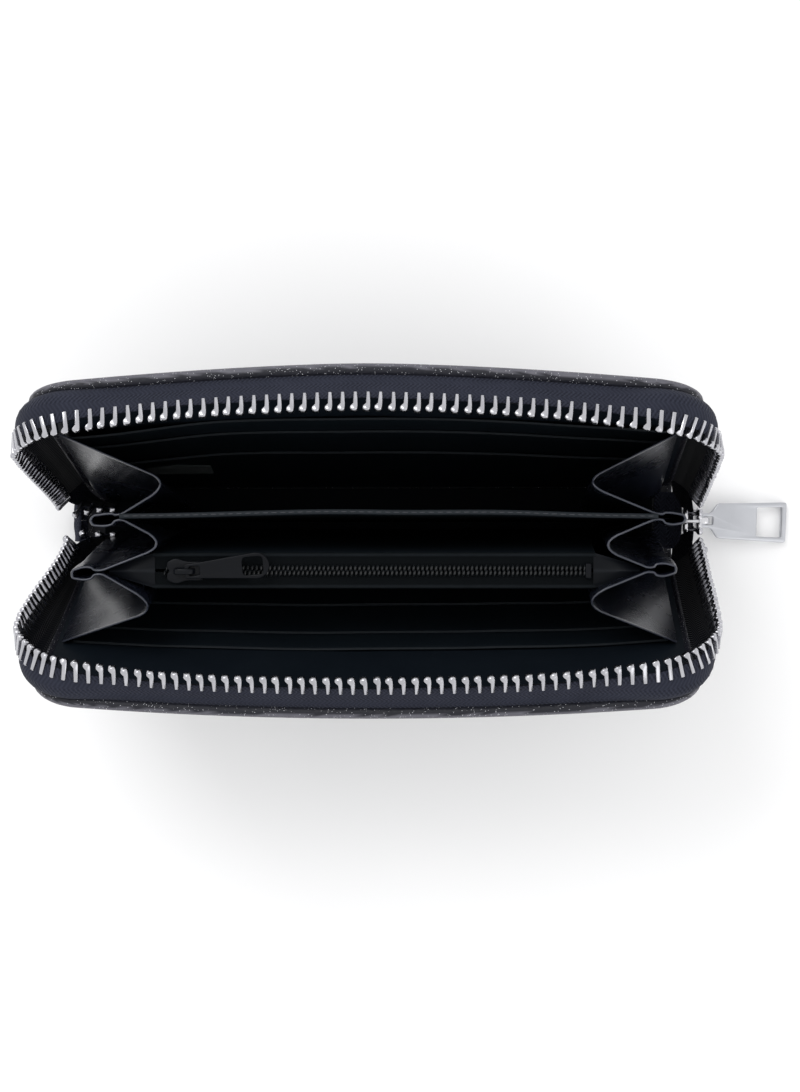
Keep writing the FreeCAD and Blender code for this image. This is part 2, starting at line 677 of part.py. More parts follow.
def coinPocket():
    inner = s.wallThickness + s.wallFit
    coinWall("coin_pocket_back_wall", -(s.pocketBack + s.wallThickness), -s.pocketFoot)
    coinWall("coin_pocket_front_wall", -(s.pocketBack + s.pocketMouth), -s.pocketFoot - inner * 2.2)
    tapeWidth = s.pocketMouth / 2 - s.coilGap / 2
    length = s.pocketLeft + s.pocketRight
    half = s.coinTapeThickness / 2
    coilLength = s.coilLeft + s.coilRight
    for side in (1, -1):
        name = names[side]
        edge = s.coilGap.value / 2 if side > 0 else -s.coilGap.value / 2 - tapeWidth.value
        y = pocketCentre.value + edge
        block("coin_zip_tape_" + name, (length, tapeWidth, s.coinTapeThickness),
              uprightPlace(-s.pocketLeft.value, y, (s.pocketTop - half).value))
        coilEdge = s.coilGap.value / 2 if side > 0 else -(s.coilGap / 2 + s.coilWidth).value
        block("coin_zip_coil_" + name, (coilLength, s.coilWidth, s.coilHeight / 2),
              uprightPlace(-s.coilLeft.value, pocketCentre.value + coilEdge,
                           (s.pocketTop + half + s.plyGap).value))
    for end, reach in ((-1, s.pocketLeft), (1, s.pocketRight)):
        label = "coin_zip_end_tab_" + ("left" if end < 0 else "right")
        body = newBody(label)
        sketch = planeSketch(body, label + "_outline", "XY_Plane")
        start = reach + s.wallFit
        tip = start + s.endTabLength
        wide, narrow = s.pocketMouth / 2, s.endTabTip / 2
        corners = [(start * end, pocketCentre - wide), (tip * end, pocketCentre - narrow),
                   (tip * end, pocketCentre + narrow), (start * end, pocketCentre + wide)]
        addPolygon(sketch, corners)
        addPad(body, sketch, s.wallThickness)
        keep(body, label, uprightPlace(0, 0, (s.pocketTop - half).value))
    stopWidth = s.coilGap + s.coilWidth * 2
    stop = block("coin_zip_end_stop", (s.coinStopLength, stopWidth, s.coinStopHeight),
                 uprightPlace((s.coilRight + s.wallFit).value,
                              (pocketCentre - stopWidth / 2).value,
                              (s.pocketTop + half + s.plyGap).value), False)
    keep(stop, "coin_zip_end_stop")


# ---- sliders and pulls --------------------------------------------------------------

def sliderBody(label, length, width, tail, gap, place):
    # x runs along the track with the wide nose at +x, z stands out on the bridge's side
    body = newBody(label)
    half = length / 2
    outline = mirrored([(-half, tail / 2), (nothing, tail / 2), (half * 0.5, width / 2),
                        (half * 0.85, width / 2), (half, width / 2 - s.noseChamfer)])
    sketch = planeSketch(body, label + "_outline", "XY_Plane")
    addPolygon(sketch, outline)
    addPad(body, sketch, gap + s.plateThickness * 2, True)
    throat = planeSketch(body, label + "_throat", "XY_Plane")
    addPolygon(throat, rectangle(-half - 2, half + 2, -width, width))
    nose = half - s.noseLip
    addPolygon(throat, rectangle(nose - s.postLength, nose, -s.postWidth / 2, s.postWidth / 2))
    for side in (1, -1):
        outer = tail / 2
        inner = outer - s.flangeWidth
        edges = (inner, outer) if side > 0 else (-outer, -inner)
        addPolygon(throat, rectangle(-half + 0.05, -half + s.flangeLength, *edges))
    addPocket(body, throat, gap)
    slot = planeSketch(body, label + "_slot", "XZ_Plane")
    addPolygon(slot, rectangle(-half - 1, nose - s.postLength - s.wallFit,
                               -s.tapeSlot / 2, s.tapeSlot / 2))
    addPocket(body, slot, width * 2)
    return keep(body, label, place)


def bridge(label, span, place):
    # the strap that the pull's eye hangs on, standing on the slider's outer plate
    body = newBody(label)
    half = span / 2
    rise = s.bridgeClear + s.bridgeStrap
    sketch = planeSketch(body, label + "_side", "XZ_Plane")
    cut = s.bridgeCorner
    addPolygon(sketch, [(-half, nothing), (-half, rise - cut), (-half + cut, rise), (half - cut, rise),
                        (half, rise - cut), (half, nothing), (half - s.bridgeStrap, nothing),
                        (half - s.bridgeStrap, s.bridgeClear), (-half + s.bridgeStrap, s.bridgeClear),
                        (-half + s.bridgeStrap, nothing)])
    addPad(body, sketch, s.bridgeWidth, True)
    return keep(body, label, place)


def mainPull(place):
    # x runs from the middle of the eye's bar to the free end
    body = newBody("main_pull_tab")
    bar = s.eyeBar / 2
    sketch = planeSketch(body, "main_pull_outline", "XY_Plane")
    addPolygon(sketch, mirrored([(-bar, s.pullNeck / 2), (s.neckLength, s.pullNeck / 2),
                                 (s.neckLength + s.shoulderRun, s.pullShoulder / 2), (s.pullLength, s.pullEnd / 2)]))
    addPad(body, sketch, s.pullThickness, True)
    eye = planeSketch(body, "main_pull_eye", "XY_Plane")
    addPolygon(eye, rectangle(bar, bar + s.eyeLength, -s.eyeWidth / 2, s.eyeWidth / 2))
    addPocket(body, eye, s.pullThickness * 2)
    window = planeSketch(body, "main_pull_window", "XY_Plane")
    reach = s.pullEnd / 2 - s.pullRim
    addPolygon(window, rectangle(s.pullHoleStart, s.pullHoleStart + s.pullHoleLength, -reach, reach))
    addPocket(body, window, s.pullThickness * 2)

    def atEnd(edge):
        return alongZ(edge) and edge.Vertexes[0].Point.x > s.pullLength.value - 0.01
    roundEdges(body, atEnd, s.pullCorner, "main_pull_corners")
    return keep(body, "main_pull_tab", place)


def coinPull(place):
    body = newBody("coin_pull_tab")
    bar = s.eyeBar / 2
    sketch = planeSketch(body, "coin_pull_outline", "XY_Plane")
    addPolygon(sketch, mirrored([(-bar, s.coinPullWidth / 2), (s.coinHoleStart, s.coinPullEnd / 2),
                                 (s.coinPullLength, s.coinPullEnd / 2)]))
    addPad(body, sketch, s.coinPullThickness, True)
    eye = planeSketch(body, "coin_pull_eye", "XY_Plane")
    addPolygon(eye, rectangle(bar, bar + s.coinEyeLength, -s.eyeWidth / 2, s.eyeWidth / 2))
    addPocket(body, eye, s.coinPullThickness * 2)
    window = planeSketch(body, "coin_pull_window", "XY_Plane")
    addPolygon(window, rectangle(s.coinHoleStart, s.coinHoleStart + s.coinHoleLength,
                                 -s.coinHoleWidth / 2, s.coinHoleWidth / 2))
    addPocket(body, window, s.coinPullThickness * 2)

    def atEnd(edge):
        return alongZ(edge) and edge.Vertexes[0].Point.x > s.coinPullLength.value - 0.01
    roundEdges(body, atEnd, s.coinPullEnd / 2 - 0.6, "coin_pull_corners")
    return keep(body, "coin_pull_tab", place)


def mainSlider():
    # the slider stands on end: its track runs up, its bridge faces +X
    turn = FreeCAD.Rotation(V(0, 0, 1), V(0, -1, 0), V(1, 0, 0), "ZXY")
    middle = (s.sliderFoot + s.sliderLength / 2).value
    sliderBody("main_slider_body", s.sliderLength, s.sliderWidth, s.sliderTail, s.sliderGap,
               FreeCAD.Placement(V(s.trackX.value, 0, middle), turn))
    outside = s.trackX.value + (s.sliderGap / 2 + s.plateThickness).value
    height = middle - s.bridgeDrop.value
    bridge("main_slider_bridge", s.bridgeSpan, FreeCAD.Placement(V(outside, 0, height), turn))
    pivot = V(outside + s.bridgeClear.value / 2, 0, height)
    # the free end lies on the surface that the wallet stands on
    drop = pivot.z - s.pullThickness.value / 2 - 0.05
    slope = math.degrees(math.asin(drop / s.pullLength.value))
    mainPull(FreeCAD.Placement(pivot, FreeCAD.Rotation(V(0, 1, 0), slope)))
    return pivot, slope


def coinSlider():
    turn = FreeCAD.Rotation(V(0, 0, 1), 180)
    middleX = -s.coinSliderLeft.value + s.coinSliderLength.value / 2
    y = pocketCentre.value
    z = (s.pocketTop + s.coinTapeThickness * 0.7).value
    sliderBody("coin_slider_body", s.coinSliderLength, s.coinSliderWidth, s.coinSliderTail,
               s.coinSliderGap, FreeCAD.Placement(V(middleX, y, z), turn))
    top = z + (s.coinSliderGap / 2 + s.plateThickness).value
    bridge("coin_slider_bridge", s.coinBridgeSpan, FreeCAD.Placement(V(middleX, y, top), turn))
    pivot = V(middleX + (s.coinBridgeSpan / 2 - s.bridgeStrap).value - 1.0, y,
              top + s.bridgeClear.value / 2)
    coinPull(FreeCAD.Placement(pivot, FreeCAD.Rotation(V(0, 0, 1), s.coinPullYaw.value)))
    return pivot


# ---- blank label --------------------------------------------------------------------

def label():
    # a small unprinted tag on the back cover's lowest card slot
    near = stackDepths()[5][1].value + s.plyGap.value
    spot = FreeCAD.Placement(V(-s.labelCentre.value - s.labelWidth.value / 2, s.labelLow.value,
                               near - s.labelLift.value), FreeCAD.Rotation())
    block("blank_label", (s.labelWidth, s.labelHeight, s.labelThickness), coverPlace(1).multiply(spot))


# ---- making and writing -------------------------------------------------------------

for coverSide in (1, -1):
    cover(coverSide)
    tapeAndPiping(coverSide)
    teeth(coverSide)
spine()
divider()
gussets()
closedEnd()
openEnds()
coinPocket()
mainPivot, mainSlope = mainSlider()
coinPivot = coinSlider()
label()
doc.recompute()

for thing in doc.Objects:
    for state in ("Invalid", "Error"):
        if state in thing.State:
            raise RuntimeError("%s is %s" % (thing.Label, state))
os.makedirs("parts", exist_ok=True)
for thing in parts:
    if thing.Shape.isNull() or not thing.Shape.isValid():
        raise RuntimeError("%s has a bad shape" % thing.Label)
for thing in parts:
    thing.Shape.exportStep("parts/%s.step" % thing.Label)
    print("%-26s %9.1f mm3" % (thing.Label, thing.Shape.Volume))
print("main pull pivot", mainPivot, "slope %.2f" % mainSlope)
print("coin pull pivot", coinPivot)
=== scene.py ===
import bpy
import bmesh
import json
import math
from mathutils import Matrix, Vector, noise
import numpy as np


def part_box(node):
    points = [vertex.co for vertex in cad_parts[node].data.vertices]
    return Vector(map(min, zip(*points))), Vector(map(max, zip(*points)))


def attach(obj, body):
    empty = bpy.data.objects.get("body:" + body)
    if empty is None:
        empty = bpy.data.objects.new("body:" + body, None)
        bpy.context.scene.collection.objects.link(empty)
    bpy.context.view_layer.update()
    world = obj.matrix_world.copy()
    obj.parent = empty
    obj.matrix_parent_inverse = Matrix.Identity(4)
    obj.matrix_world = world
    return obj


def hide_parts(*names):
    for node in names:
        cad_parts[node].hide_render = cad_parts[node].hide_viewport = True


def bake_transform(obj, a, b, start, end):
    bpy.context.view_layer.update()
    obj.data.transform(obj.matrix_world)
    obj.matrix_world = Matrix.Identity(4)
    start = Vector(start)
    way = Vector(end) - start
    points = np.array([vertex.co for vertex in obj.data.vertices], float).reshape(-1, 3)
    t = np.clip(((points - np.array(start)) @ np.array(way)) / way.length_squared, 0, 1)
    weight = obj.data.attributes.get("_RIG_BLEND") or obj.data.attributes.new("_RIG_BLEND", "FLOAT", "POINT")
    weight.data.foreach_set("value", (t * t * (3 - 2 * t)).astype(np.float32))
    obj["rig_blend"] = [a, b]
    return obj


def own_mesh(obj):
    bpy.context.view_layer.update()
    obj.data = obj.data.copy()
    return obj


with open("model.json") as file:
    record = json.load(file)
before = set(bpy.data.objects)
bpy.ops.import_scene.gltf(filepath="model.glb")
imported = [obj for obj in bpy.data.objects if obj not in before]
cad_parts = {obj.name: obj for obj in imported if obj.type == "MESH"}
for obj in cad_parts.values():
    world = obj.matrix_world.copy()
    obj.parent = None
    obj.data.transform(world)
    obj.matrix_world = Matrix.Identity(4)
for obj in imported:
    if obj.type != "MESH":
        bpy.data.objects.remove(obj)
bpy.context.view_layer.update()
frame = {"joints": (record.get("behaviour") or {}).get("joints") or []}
mm = 0.001
print("frame loaded")

# A zip-around long wallet standing open on its spine. Shapes are worked out in
# millimetres and scaled when a mesh is made. +Y is the back cover's side.

wallet = {
    "half": 93.0,           # half the length
    "top": 98.0,            # cover height above its hinge
    "corner": 14.0,
    "hingeY": 12.4,
    "hingeZ": 0.6,
    "bow": {1: 6.0, -1: 4.5},   # how far each cover's free edge stands out in the middle
    "bowPower": {1: 1.6, -1: 2.0},   # how flat that bow's middle is
    "bowReach": 1.06,
    "bowFoot": 1.0,
    "rowFoot": 9.0,         # where the zip leaves the covers
    "floor": 3.4,           # inside of the spine
}
sideNames = {1: "back", -1: "front"}
joints = {joint["name"]: joint for joint in frame["joints"]}
lean = {side: -math.radians(joints[name + "_cover_hinge"]["range_deg"][0])
        for side, name in sideNames.items()}
coverBody = {side: name + "_cover" for side, name in sideNames.items()}
endNames = {-1: "left", 1: "right"}


# places on the covers and along the zip

def smoothStep(low, high, value):
    t = min(max((value - low) / (high - low), 0.0), 1.0)
    return t * t * (3 - 2 * t)


def lerp(a, b, t):
    return a + (b - a) * t


def evenSteps(low, high, count):
    return [lerp(low, high, i / count) for i in range(count + 1)]


def directions(line):
    # unit direction of an open line at each of its points
    return [(after - before).normalized()
            for before, after in zip(line[:1] + line[:-1], line[1:] + line[-1:])]


def bowAt(side, u, v):
    share = min(abs(u) / wallet["half"], wallet["bowReach"]) ** wallet["bowPower"][side]
    rise = (v - wallet["bowFoot"]) / (wallet["top"] - wallet["bowFoot"])
    return wallet["bow"][side] * (1 - share) * rise


def coverVector(side, du, dv, dw):
    s, c = math.sin(lean[side]), math.cos(lean[side])
    return Vector((du, side * (dv * s - dw * c), dv * c + dw * s))


def coverPoint(side, u, v, w):
    # u along the wallet, v up the cover from its hinge, w inwards from its outer face
    inward = w - wallet["hingeZ"] - bowAt(side, u, v)
    hinge = Vector((0, side * wallet["hingeY"], wallet["hingeZ"]))
    return hinge + coverVector(side, u, v, inward)


def edgePoint(along, offset, half, top, radius):
    # point (u, v) and outward direction on three sides of a rounded oblong, at a distance
    # from the middle of its top; negative distances run to the left
    flat = half - radius
    away = abs(along)
    sign = 1 if along >= 0 else -1
    if away <= flat:
        return sign * away, top + offset, 0.0, 1.0
    angle = (away - flat) / radius
    if angle < math.pi / 2:
        su, sv = math.sin(angle), math.cos(angle)
        return (sign * (flat + (radius + offset) * su), top - radius + (radius + offset) * sv,
                sign * su, sv)
    down = away - flat - radius * math.pi / 2
    return sign * (half + offset), top - radius - down, float(sign), 0.0


def edgeLength(foot, half, top, radius):
    return half - radius + radius * math.pi / 2 + top - radius - foot


def rimPoint(along, offset):
    # the covers' own rim
    return edgePoint(along, offset, wallet["half"], wallet["top"], wallet["corner"])


rimLength = edgeLength(wallet["rowFoot"], wallet["half"], wallet["top"], wallet["corner"])


def softNoise(point, size, seed=0):
    return noise.noise(Vector(point) / size + Vector((seed * 7.3, seed * 3.1, seed * 5.7)))


# making meshes

def addToScene(name, mesh, material=None, sharpAngle=38, smooth=True):
    piece = bpy.data.objects.new(name, mesh)
    bpy.context.scene.collection.objects.link(piece)
    if material is not None:
        mesh.materials.clear()
        mesh.materials.append(material)
    if smooth:
        mesh.shade_smooth()
    mesh.set_sharp_from_angle(angle=math.radians(sharpAngle))
    return piece


def meshInMetres(name, shell):
    bmesh.ops.recalc_face_normals(shell, faces=shell.faces[:])
    shell.transform(Matrix.Scale(mm, 4))
    mesh = bpy.data.meshes.new(name)
    shell.to_mesh(mesh)
    shell.free()
    return mesh


def meshFromBmesh(name, shell, material, sharpAngle=38, weld=0.004):
    bmesh.ops.remove_doubles(shell, verts=shell.verts[:], dist=weld)
    bmesh.ops.dissolve_degenerate(shell, edges=shell.edges[:], dist=weld / 4)
    return addToScene(name, meshInMetres(name, shell), material, sharpAngle)


def shellMesh(name, front, back, material, uv, edge, sharpAngle=38, plainBack=False):
    # a closed skin between two same-sized grids of points; uv and edge are grids too
    rows, cols = len(front), len(front[0])
    shell = bmesh.new()
    # the edge layer marks painted highlights along rims and folds, and painted shade on the zip tape's inner
    # face
    edgeLayer = shell.verts.layers.float.new("edge")
    uvLayer = shell.loops.layers.uv.new("UVMap")
    sheets = []
    for grid, marked in ((front, True), (back, not plainBack)):
        sheet = [[shell.verts.new(point) for point in row] for row in grid]
        sheets.append(sheet)
        for i in range(rows if marked else 0):
            for j in range(cols):
                sheet[i][j][edgeLayer] = edge[i][j]
    first, second = sheets

    def addFace(corners, places):
        face = shell.faces.new(corners)
        for loop, (i, j) in zip(face.loops, places):
            loop[uvLayer].uv = uv[i][j]

    for i in range(rows - 1):
        for j in range(cols - 1):
            places = [(i, j), (i, j + 1), (i + 1, j + 1), (i + 1, j)]
            addFace([first[a][b] for a, b in places], places)
            places = places[::-1]
            addFace([second[a][b] for a, b in places], places)
    border = [(0, j) for j in range(cols)] + [(i, cols - 1) for i in range(1, rows)]
    border += [(rows - 1, j) for j in range(cols - 2, -1, -1)]
    border += [(i, 0) for i in range(rows - 2, 0, -1)]
    for here, there in zip(border, border[1:] + border[:1]):
        addFace([first[there[0]][there[1]], first[here[0]][here[1]],
                 second[here[0]][here[1]], second[there[0]][there[1]]], [there, here, here, there])
    return meshFromBmesh(name, shell, material, sharpAngle)


def gridShell(name, rows, columns, cell, material, sharpAngle=38, plainBack=False):
    # cell(row, column) gives a front point, a back point, a uv and an edge mark
    cells = [[cell(row, column) for column in columns] for row in rows]
    front, back, uv, edge = ([[entry[part] for entry in line] for line in cells]
                             for part in range(4))
    return shellMesh(name, front, back, material, uv, edge, sharpAngle, plainBack)


def sweptTube(name, path, section, material, uvScale=1.0, sharpAngle=50):
    # path is a list of (point, x direction, y direction); section is closed, in x and y
    shell = bmesh.new()
    uvLayer = shell.loops.layers.uv.new("UVMap")
    rings = [[shell.verts.new(point + across * x + up * y) for x, y in section]
             for point, across, up in path]
    count = len(section)
    for i in range(len(rings) - 1):
        for j in range(count):
            k = (j + 1) % count
            face = shell.faces.new([rings[i][j], rings[i][k], rings[i + 1][k], rings[i + 1][j]])
            for loop, place in zip(face.loops, ((i, j), (i, j + 1), (i + 1, j + 1), (i + 1, j))):
                loop[uvLayer].uv = (place[0] * uvScale, place[1] / count)
    shell.faces.new(rings[0][::-1])
    shell.faces.new(rings[-1])
    return meshFromBmesh(name, shell, material, sharpAngle, 0.0005)


def roundedOutline(points, radius, steps=5):
    # closed outline with its corners rounded
    outline = []
    for index, point in enumerate(points):
        here = Vector(point)
        before = Vector(points[index - 1]) - here
        after = Vector(points[(index + 1) % len(points)]) - here
        reach = min(radius, before.length * 0.45, after.length * 0.45)
        start = here + before.normalized() * reach
        finish = here + after.normalized() * reach
        for step in range(steps + 1):
            t = step / steps
            outline.append(start * (1 - t) ** 2 + here * 2 * t * (1 - t) + finish * t * t)
    return outline


def oblong(left, low, right, high, radius, steps=5):
    corners = [(left, low), (right, low), (right, high), (left, high)]
    return roundedOutline(corners, radius, steps)


def roundedShare(distance, radius):
    # how much of its thickness a rolled edge has at a distance from its end
    return math.sqrt(max(1 - (1 - min(distance / radius, 1.0)) ** 2, 0.0))


def joinLoops(shell, loops):
    for a, b in zip(loops, loops[1:]):
        for k in range(len(a)):
            m = (k + 1) % len(a)
            shell.faces.new([a[k], a[m], b[m], b[k]])


def platePiece(name, outlines, thickness, bevel, place, material, sharpAngle=45, bevelSteps=2):
    # flat plate with rounded rims; the first outline is its edge, the others are holes
    curve = bpy.data.curves.new(name + "_outline", "CURVE")
    curve.dimensions = "2D"
    curve.fill_mode = "BOTH"
    curve.extrude = (thickness / 2 - bevel) * mm
    curve.bevel_depth = bevel * mm
    curve.bevel_resolution = bevelSteps
    curve.offset = -bevel * mm
    for outline in outlines:
        spline = curve.splines.new("POLY")
        spline.points.add(len(outline) - 1)
        for target, point in zip(spline.points, outline):
            target.co = (point[0] * mm, point[1] * mm, 0, 1)
        spline.use_cyclic_u = True
    holder = bpy.data.objects.new(name + "_curve", curve)
    bpy.context.scene.collection.objects.link(holder)
    evaluated = holder.evaluated_get(bpy.context.evaluated_depsgraph_get())
    mesh = bpy.data.meshes.new_from_object(evaluated)
    bpy.data.objects.remove(holder)
    shell = bmesh.new()
    shell.from_mesh(mesh)
    bmesh.ops.remove_doubles(shell, verts=shell.verts[:], dist=0.002 * mm)
    bmesh.ops.recalc_face_normals(shell, faces=shell.faces[:])
    for face in shell.faces:
        face.smooth = abs(face.normal.z) < 0.9999   # the two flat sides stay flat
    shell.transform(place)
    shell.to_mesh(mesh)
    shell.free()
    mesh.name = name
    return addToScene(name, mesh, material, sharpAngle, False)


def clipPiece(name, shape, place, material):
    x, y = shape["half"]
    outline = oblong(-x, -y, x, y, shape["round"])
    return platePiece(name, [outline], shape["thickness"], shape["bevel"], place, material)


def joinPieces(name, objects):
    # several meshes of one part made one; faces keep their materials
    shell = bmesh.new()
    materials = []
    for piece in objects:
        start = len(shell.faces)
        shell.from_mesh(piece.data)
        shell.faces.ensure_lookup_table()
        material = piece.data.materials[0]
        if material not in materials:
            materials.append(material)
        for face in shell.faces[start:]:
            face.material_index = materials.index(material)
    mesh = bpy.data.meshes.new(name)
    shell.to_mesh(mesh)
    shell.free()
    for piece in objects:
        bpy.data.objects.remove(piece)
    joined = addToScene(name, mesh, None, 38, False)
    for material in materials:
        mesh.materials.append(material)
    return joined


def placeMatrix(origin, xAxis, zAxis):
    # matrix that puts a plate's x along xAxis and its face along zAxis, origin in mm
    x = Vector(xAxis).normalized()
    z = Vector(zAxis).normalized()
    y = z.cross(x)
    turn = Matrix((x, y, z)).transposed().to_4x4()
    return Matrix.Translation(Vector(origin) * mm) @ turn


# shader groups

def groupSockets(tree, inputs, outputs):
    for name, value in inputs.items():
        socket = tree.interface.new_socket(name=name, in_out="INPUT", socket_type="NodeSocketFloat")
        socket.default_value = value
    for name in outputs:
        tree.interface.new_socket(name=name, in_out="OUTPUT", socket_type="NodeSocketFloat")
    return tree.nodes.new("NodeGroupInput").outputs, tree.nodes.new("NodeGroupOutput")


def feed(tree, node, values):
    # links outputs and sets plain values on a node's inputs
    for key, value in values.items():
        if hasattr(value, "is_output"):
            tree.links.new(value, node.inputs[key])
        else:
            node.inputs[key].default_value = value
    return node


def mathNode(tree, operation, first, second=None, clamp=False):
    node = tree.nodes.new("ShaderNodeMath")
    node.operation = operation
    node.use_clamp = clamp
    return feed(tree, node, {0: first} if second is None else {0: first, 1: second}).outputs[0]


def noiseNode(tree, vector, scale, detail=3.0, roughness=0.55):
    node = tree.nodes.new("ShaderNodeTexNoise")
    feed(tree, node, {"Detail": detail, "Roughness": roughness, "Vector": vector, "Scale": scale})
    return node.outputs["Fac"]


grainShape = {"cellSoftness": 0.55, "fineRatio": 2.3, "fineShare": 0.35, "wrinkleScale": 70.0,
              "mottleScale": 42.0, "glintScale": 1500.0, "glintSize": 0.13}
weaveShape = {"crossShare": 0.45, "relief": 0.34, "blotchScale": 110.0, "blotchShare": 0.4,
              "fuzzScale": 2600.0, "fuzzShare": 0.25, "rough": (0.72, 0.9), "bump": 0.8}
# smudge and relief are metal wear; the patch values make the painted edge highlight uneven, and glintColour
# is the colour of the painted glints on the leather
wearAndHighlightShape = {"smudgeScale": 160.0, "relief": 0.5, "patchScale": 240.0, "patchShare": 0.8,
             "patchFloor": 0.5, "glintColour": (0.75, 0.76, 0.8)}


def leatherGrainGroup():
    tree = bpy.data.node_groups.new("leatherGrain", "ShaderNodeTree")
    source, result = groupSockets(tree, {"Grain Scale": 900.0, "Pebble": 0.6, "Wrinkle": 0.3},
                                  ["Height", "Mottle", "Sparkle"])
    objectPoint = tree.nodes.new("ShaderNodeTexCoord").outputs["Object"]
    cells = tree.nodes.new("ShaderNodeTexVoronoi")
    cells.feature = "SMOOTH_F1"
    feed(tree, cells, {"Smoothness": grainShape["cellSoftness"], "Vector": objectPoint,
                       "Scale": source["Grain Scale"]})
    pebble = mathNode(tree, "MULTIPLY", cells.outputs["Distance"], source["Pebble"])
    fineScale = mathNode(tree, "MULTIPLY", source["Grain Scale"], grainShape["fineRatio"])
    fine = mathNode(tree, "MULTIPLY", noiseNode(tree, objectPoint, fineScale, 2.0),
                    grainShape["fineShare"])
    wrinkles = noiseNode(tree, objectPoint, grainShape["wrinkleScale"], 4.0, 0.6)
    wrinkles = mathNode(tree, "MULTIPLY", wrinkles, source["Wrinkle"])
    height = mathNode(tree, "ADD", mathNode(tree, "SUBTRACT", fine, pebble), wrinkles)
    mottle = noiseNode(tree, objectPoint, grainShape["mottleScale"], 5.0, 0.6)
    # glints: tiny bright dots, painted highlights on the grain
    glints = tree.nodes.new("ShaderNodeTexVoronoi")
    feed(tree, glints, {"Scale": grainShape["glintScale"], "Vector": objectPoint})
    spot = mathNode(tree, "LESS_THAN", glints.outputs["Distance"], grainShape["glintSize"])
    feed(tree, result, {"Height": height, "Mottle": mottle, "Sparkle": spot})
    return tree


def clothWeaveGroup():
    # herringbone threads on a UV map in metres; u runs along the tape, v across it
    tree = bpy.data.node_groups.new("clothWeave", "ShaderNodeTree")
    source, result = groupSockets(tree, {"Thread": 0.0006, "Rib": 0.0016},
                                  ["Height", "Shade", "Fuzz"])
    uv = tree.nodes.new("ShaderNodeUVMap")
    uv.uv_map = "UVMap"
    parts = tree.nodes.new("ShaderNodeSeparateXYZ")
    tree.links.new(uv.outputs["UV"], parts.inputs["Vector"])
    along, across = parts.outputs["X"], parts.outputs["Y"]

    def ridges(distance):
        turns = mathNode(tree, "DIVIDE", distance, source["Thread"])
        return mathNode(tree, "SINE", mathNode(tree, "MULTIPLY", turns, 2 * math.pi))

    zigzag = mathNode(tree, "PINGPONG", across, source["Rib"])
    ridge = ridges(mathNode(tree, "ADD", along, zigzag))
    crossRidge = ridges(mathNode(tree, "SUBTRACT", across, along))
    crossRidge = mathNode(tree, "MULTIPLY", crossRidge, weaveShape["crossShare"])
    both = mathNode(tree, "ADD", ridge, crossRidge)
    height = mathNode(tree, "ADD", mathNode(tree, "MULTIPLY", both, weaveShape["relief"]), 0.5)
    objectPoint = tree.nodes.new("ShaderNodeTexCoord").outputs["Object"]
    blotch = noiseNode(tree, objectPoint, weaveShape["blotchScale"], 4.0)
    blotch = mathNode(tree, "MULTIPLY", blotch, weaveShape["blotchShare"])
    # Shade is the thread relief painted into the colour as shade between the threads, mixed with random
    # blotches of tone
    shade = mathNode(tree, "MULTIPLY", height, 1 - weaveShape["blotchShare"])
    feed(tree, result, {"Height": height, "Shade": mathNode(tree, "ADD", shade, blotch),
                        "Fuzz": noiseNode(tree, objectPoint, weaveShape["fuzzScale"], 2.0)})
    return tree


def metalWearGroup():
    tree = bpy.data.node_groups.new("metalWear", "ShaderNodeTree")
    source, result = groupSockets(tree, {"Streak Scale": 400.0, "Stretch": 0.06},
                                  ["Streak", "Smudge", "Height"])
    objectPoint = tree.nodes.new("ShaderNodeTexCoord").outputs["Object"]
    stretch = tree.nodes.new("ShaderNodeCombineXYZ")
    feed(tree, stretch, {"X": source["Stretch"], "Y": 1.0, "Z": 1.0})
    scaled = tree.nodes.new("ShaderNodeVectorMath")
    scaled.operation = "MULTIPLY"
    feed(tree, scaled, {0: objectPoint, 1: stretch.outputs["Vector"]})
    streak = noiseNode(tree, scaled.outputs["Vector"], source["Streak Scale"], 5.0, 0.7)
    feed(tree, result, {"Streak": streak,
                        "Smudge": noiseNode(tree, objectPoint, wearAndHighlightShape["smudgeScale"], 4.0),
                        "Height": mathNode(tree, "MULTIPLY", streak, wearAndHighlightShape["relief"])})
    return tree


def paintedEdgeLightAndShadeGroup():
    # painted light along cut and folded edges, from the edge attribute: slightly paler leather as a painted
    # highlight, a painted highlight on the coin tape's welt and painted shade on the zip tape's inner face
    tree = bpy.data.node_groups.new("paintedEdgeLightAndShade", "ShaderNodeTree")
    source, result = groupSockets(tree, {"Strength": 0.6}, ["Mask"])
    attribute = tree.nodes.new("ShaderNodeAttribute")
    attribute.attribute_name = "edge"
    objectPoint = tree.nodes.new("ShaderNodeTexCoord").outputs["Object"]
    patchy = noiseNode(tree, objectPoint, wearAndHighlightShape["patchScale"], 3.0)
    patchy = mathNode(tree, "MULTIPLY", patchy, wearAndHighlightShape["patchShare"])
    uneven = mathNode(tree, "ADD", patchy, wearAndHighlightShape["patchFloor"])
    mask = mathNode(tree, "MULTIPLY", attribute.outputs["Fac"], uneven)
    feed(tree, result, {"Mask": mathNode(tree, "MULTIPLY", mask, source["Strength"], True)})
    return tree


shaderGroups = {
    "leather": leatherGrainGroup(),
    "weave": clothWeaveGroup(),
    "metal": metalWearGroup(),
    "edge": paintedEdgeLightAndShadeGroup(),
}


# materials

def newMaterial(name):
    material = bpy.data.materials.new(name)
    material.use_nodes = True
    tree = material.node_tree
    shader = next(node for node in tree.nodes if node.type == "BSDF_PRINCIPLED")
    return material, tree, shader


def placeGroup(tree, key, values):
    node = tree.nodes.new("ShaderNodeGroup")
    node.node_tree = shaderGroups[key]
    return feed(tree, node, values).outputs


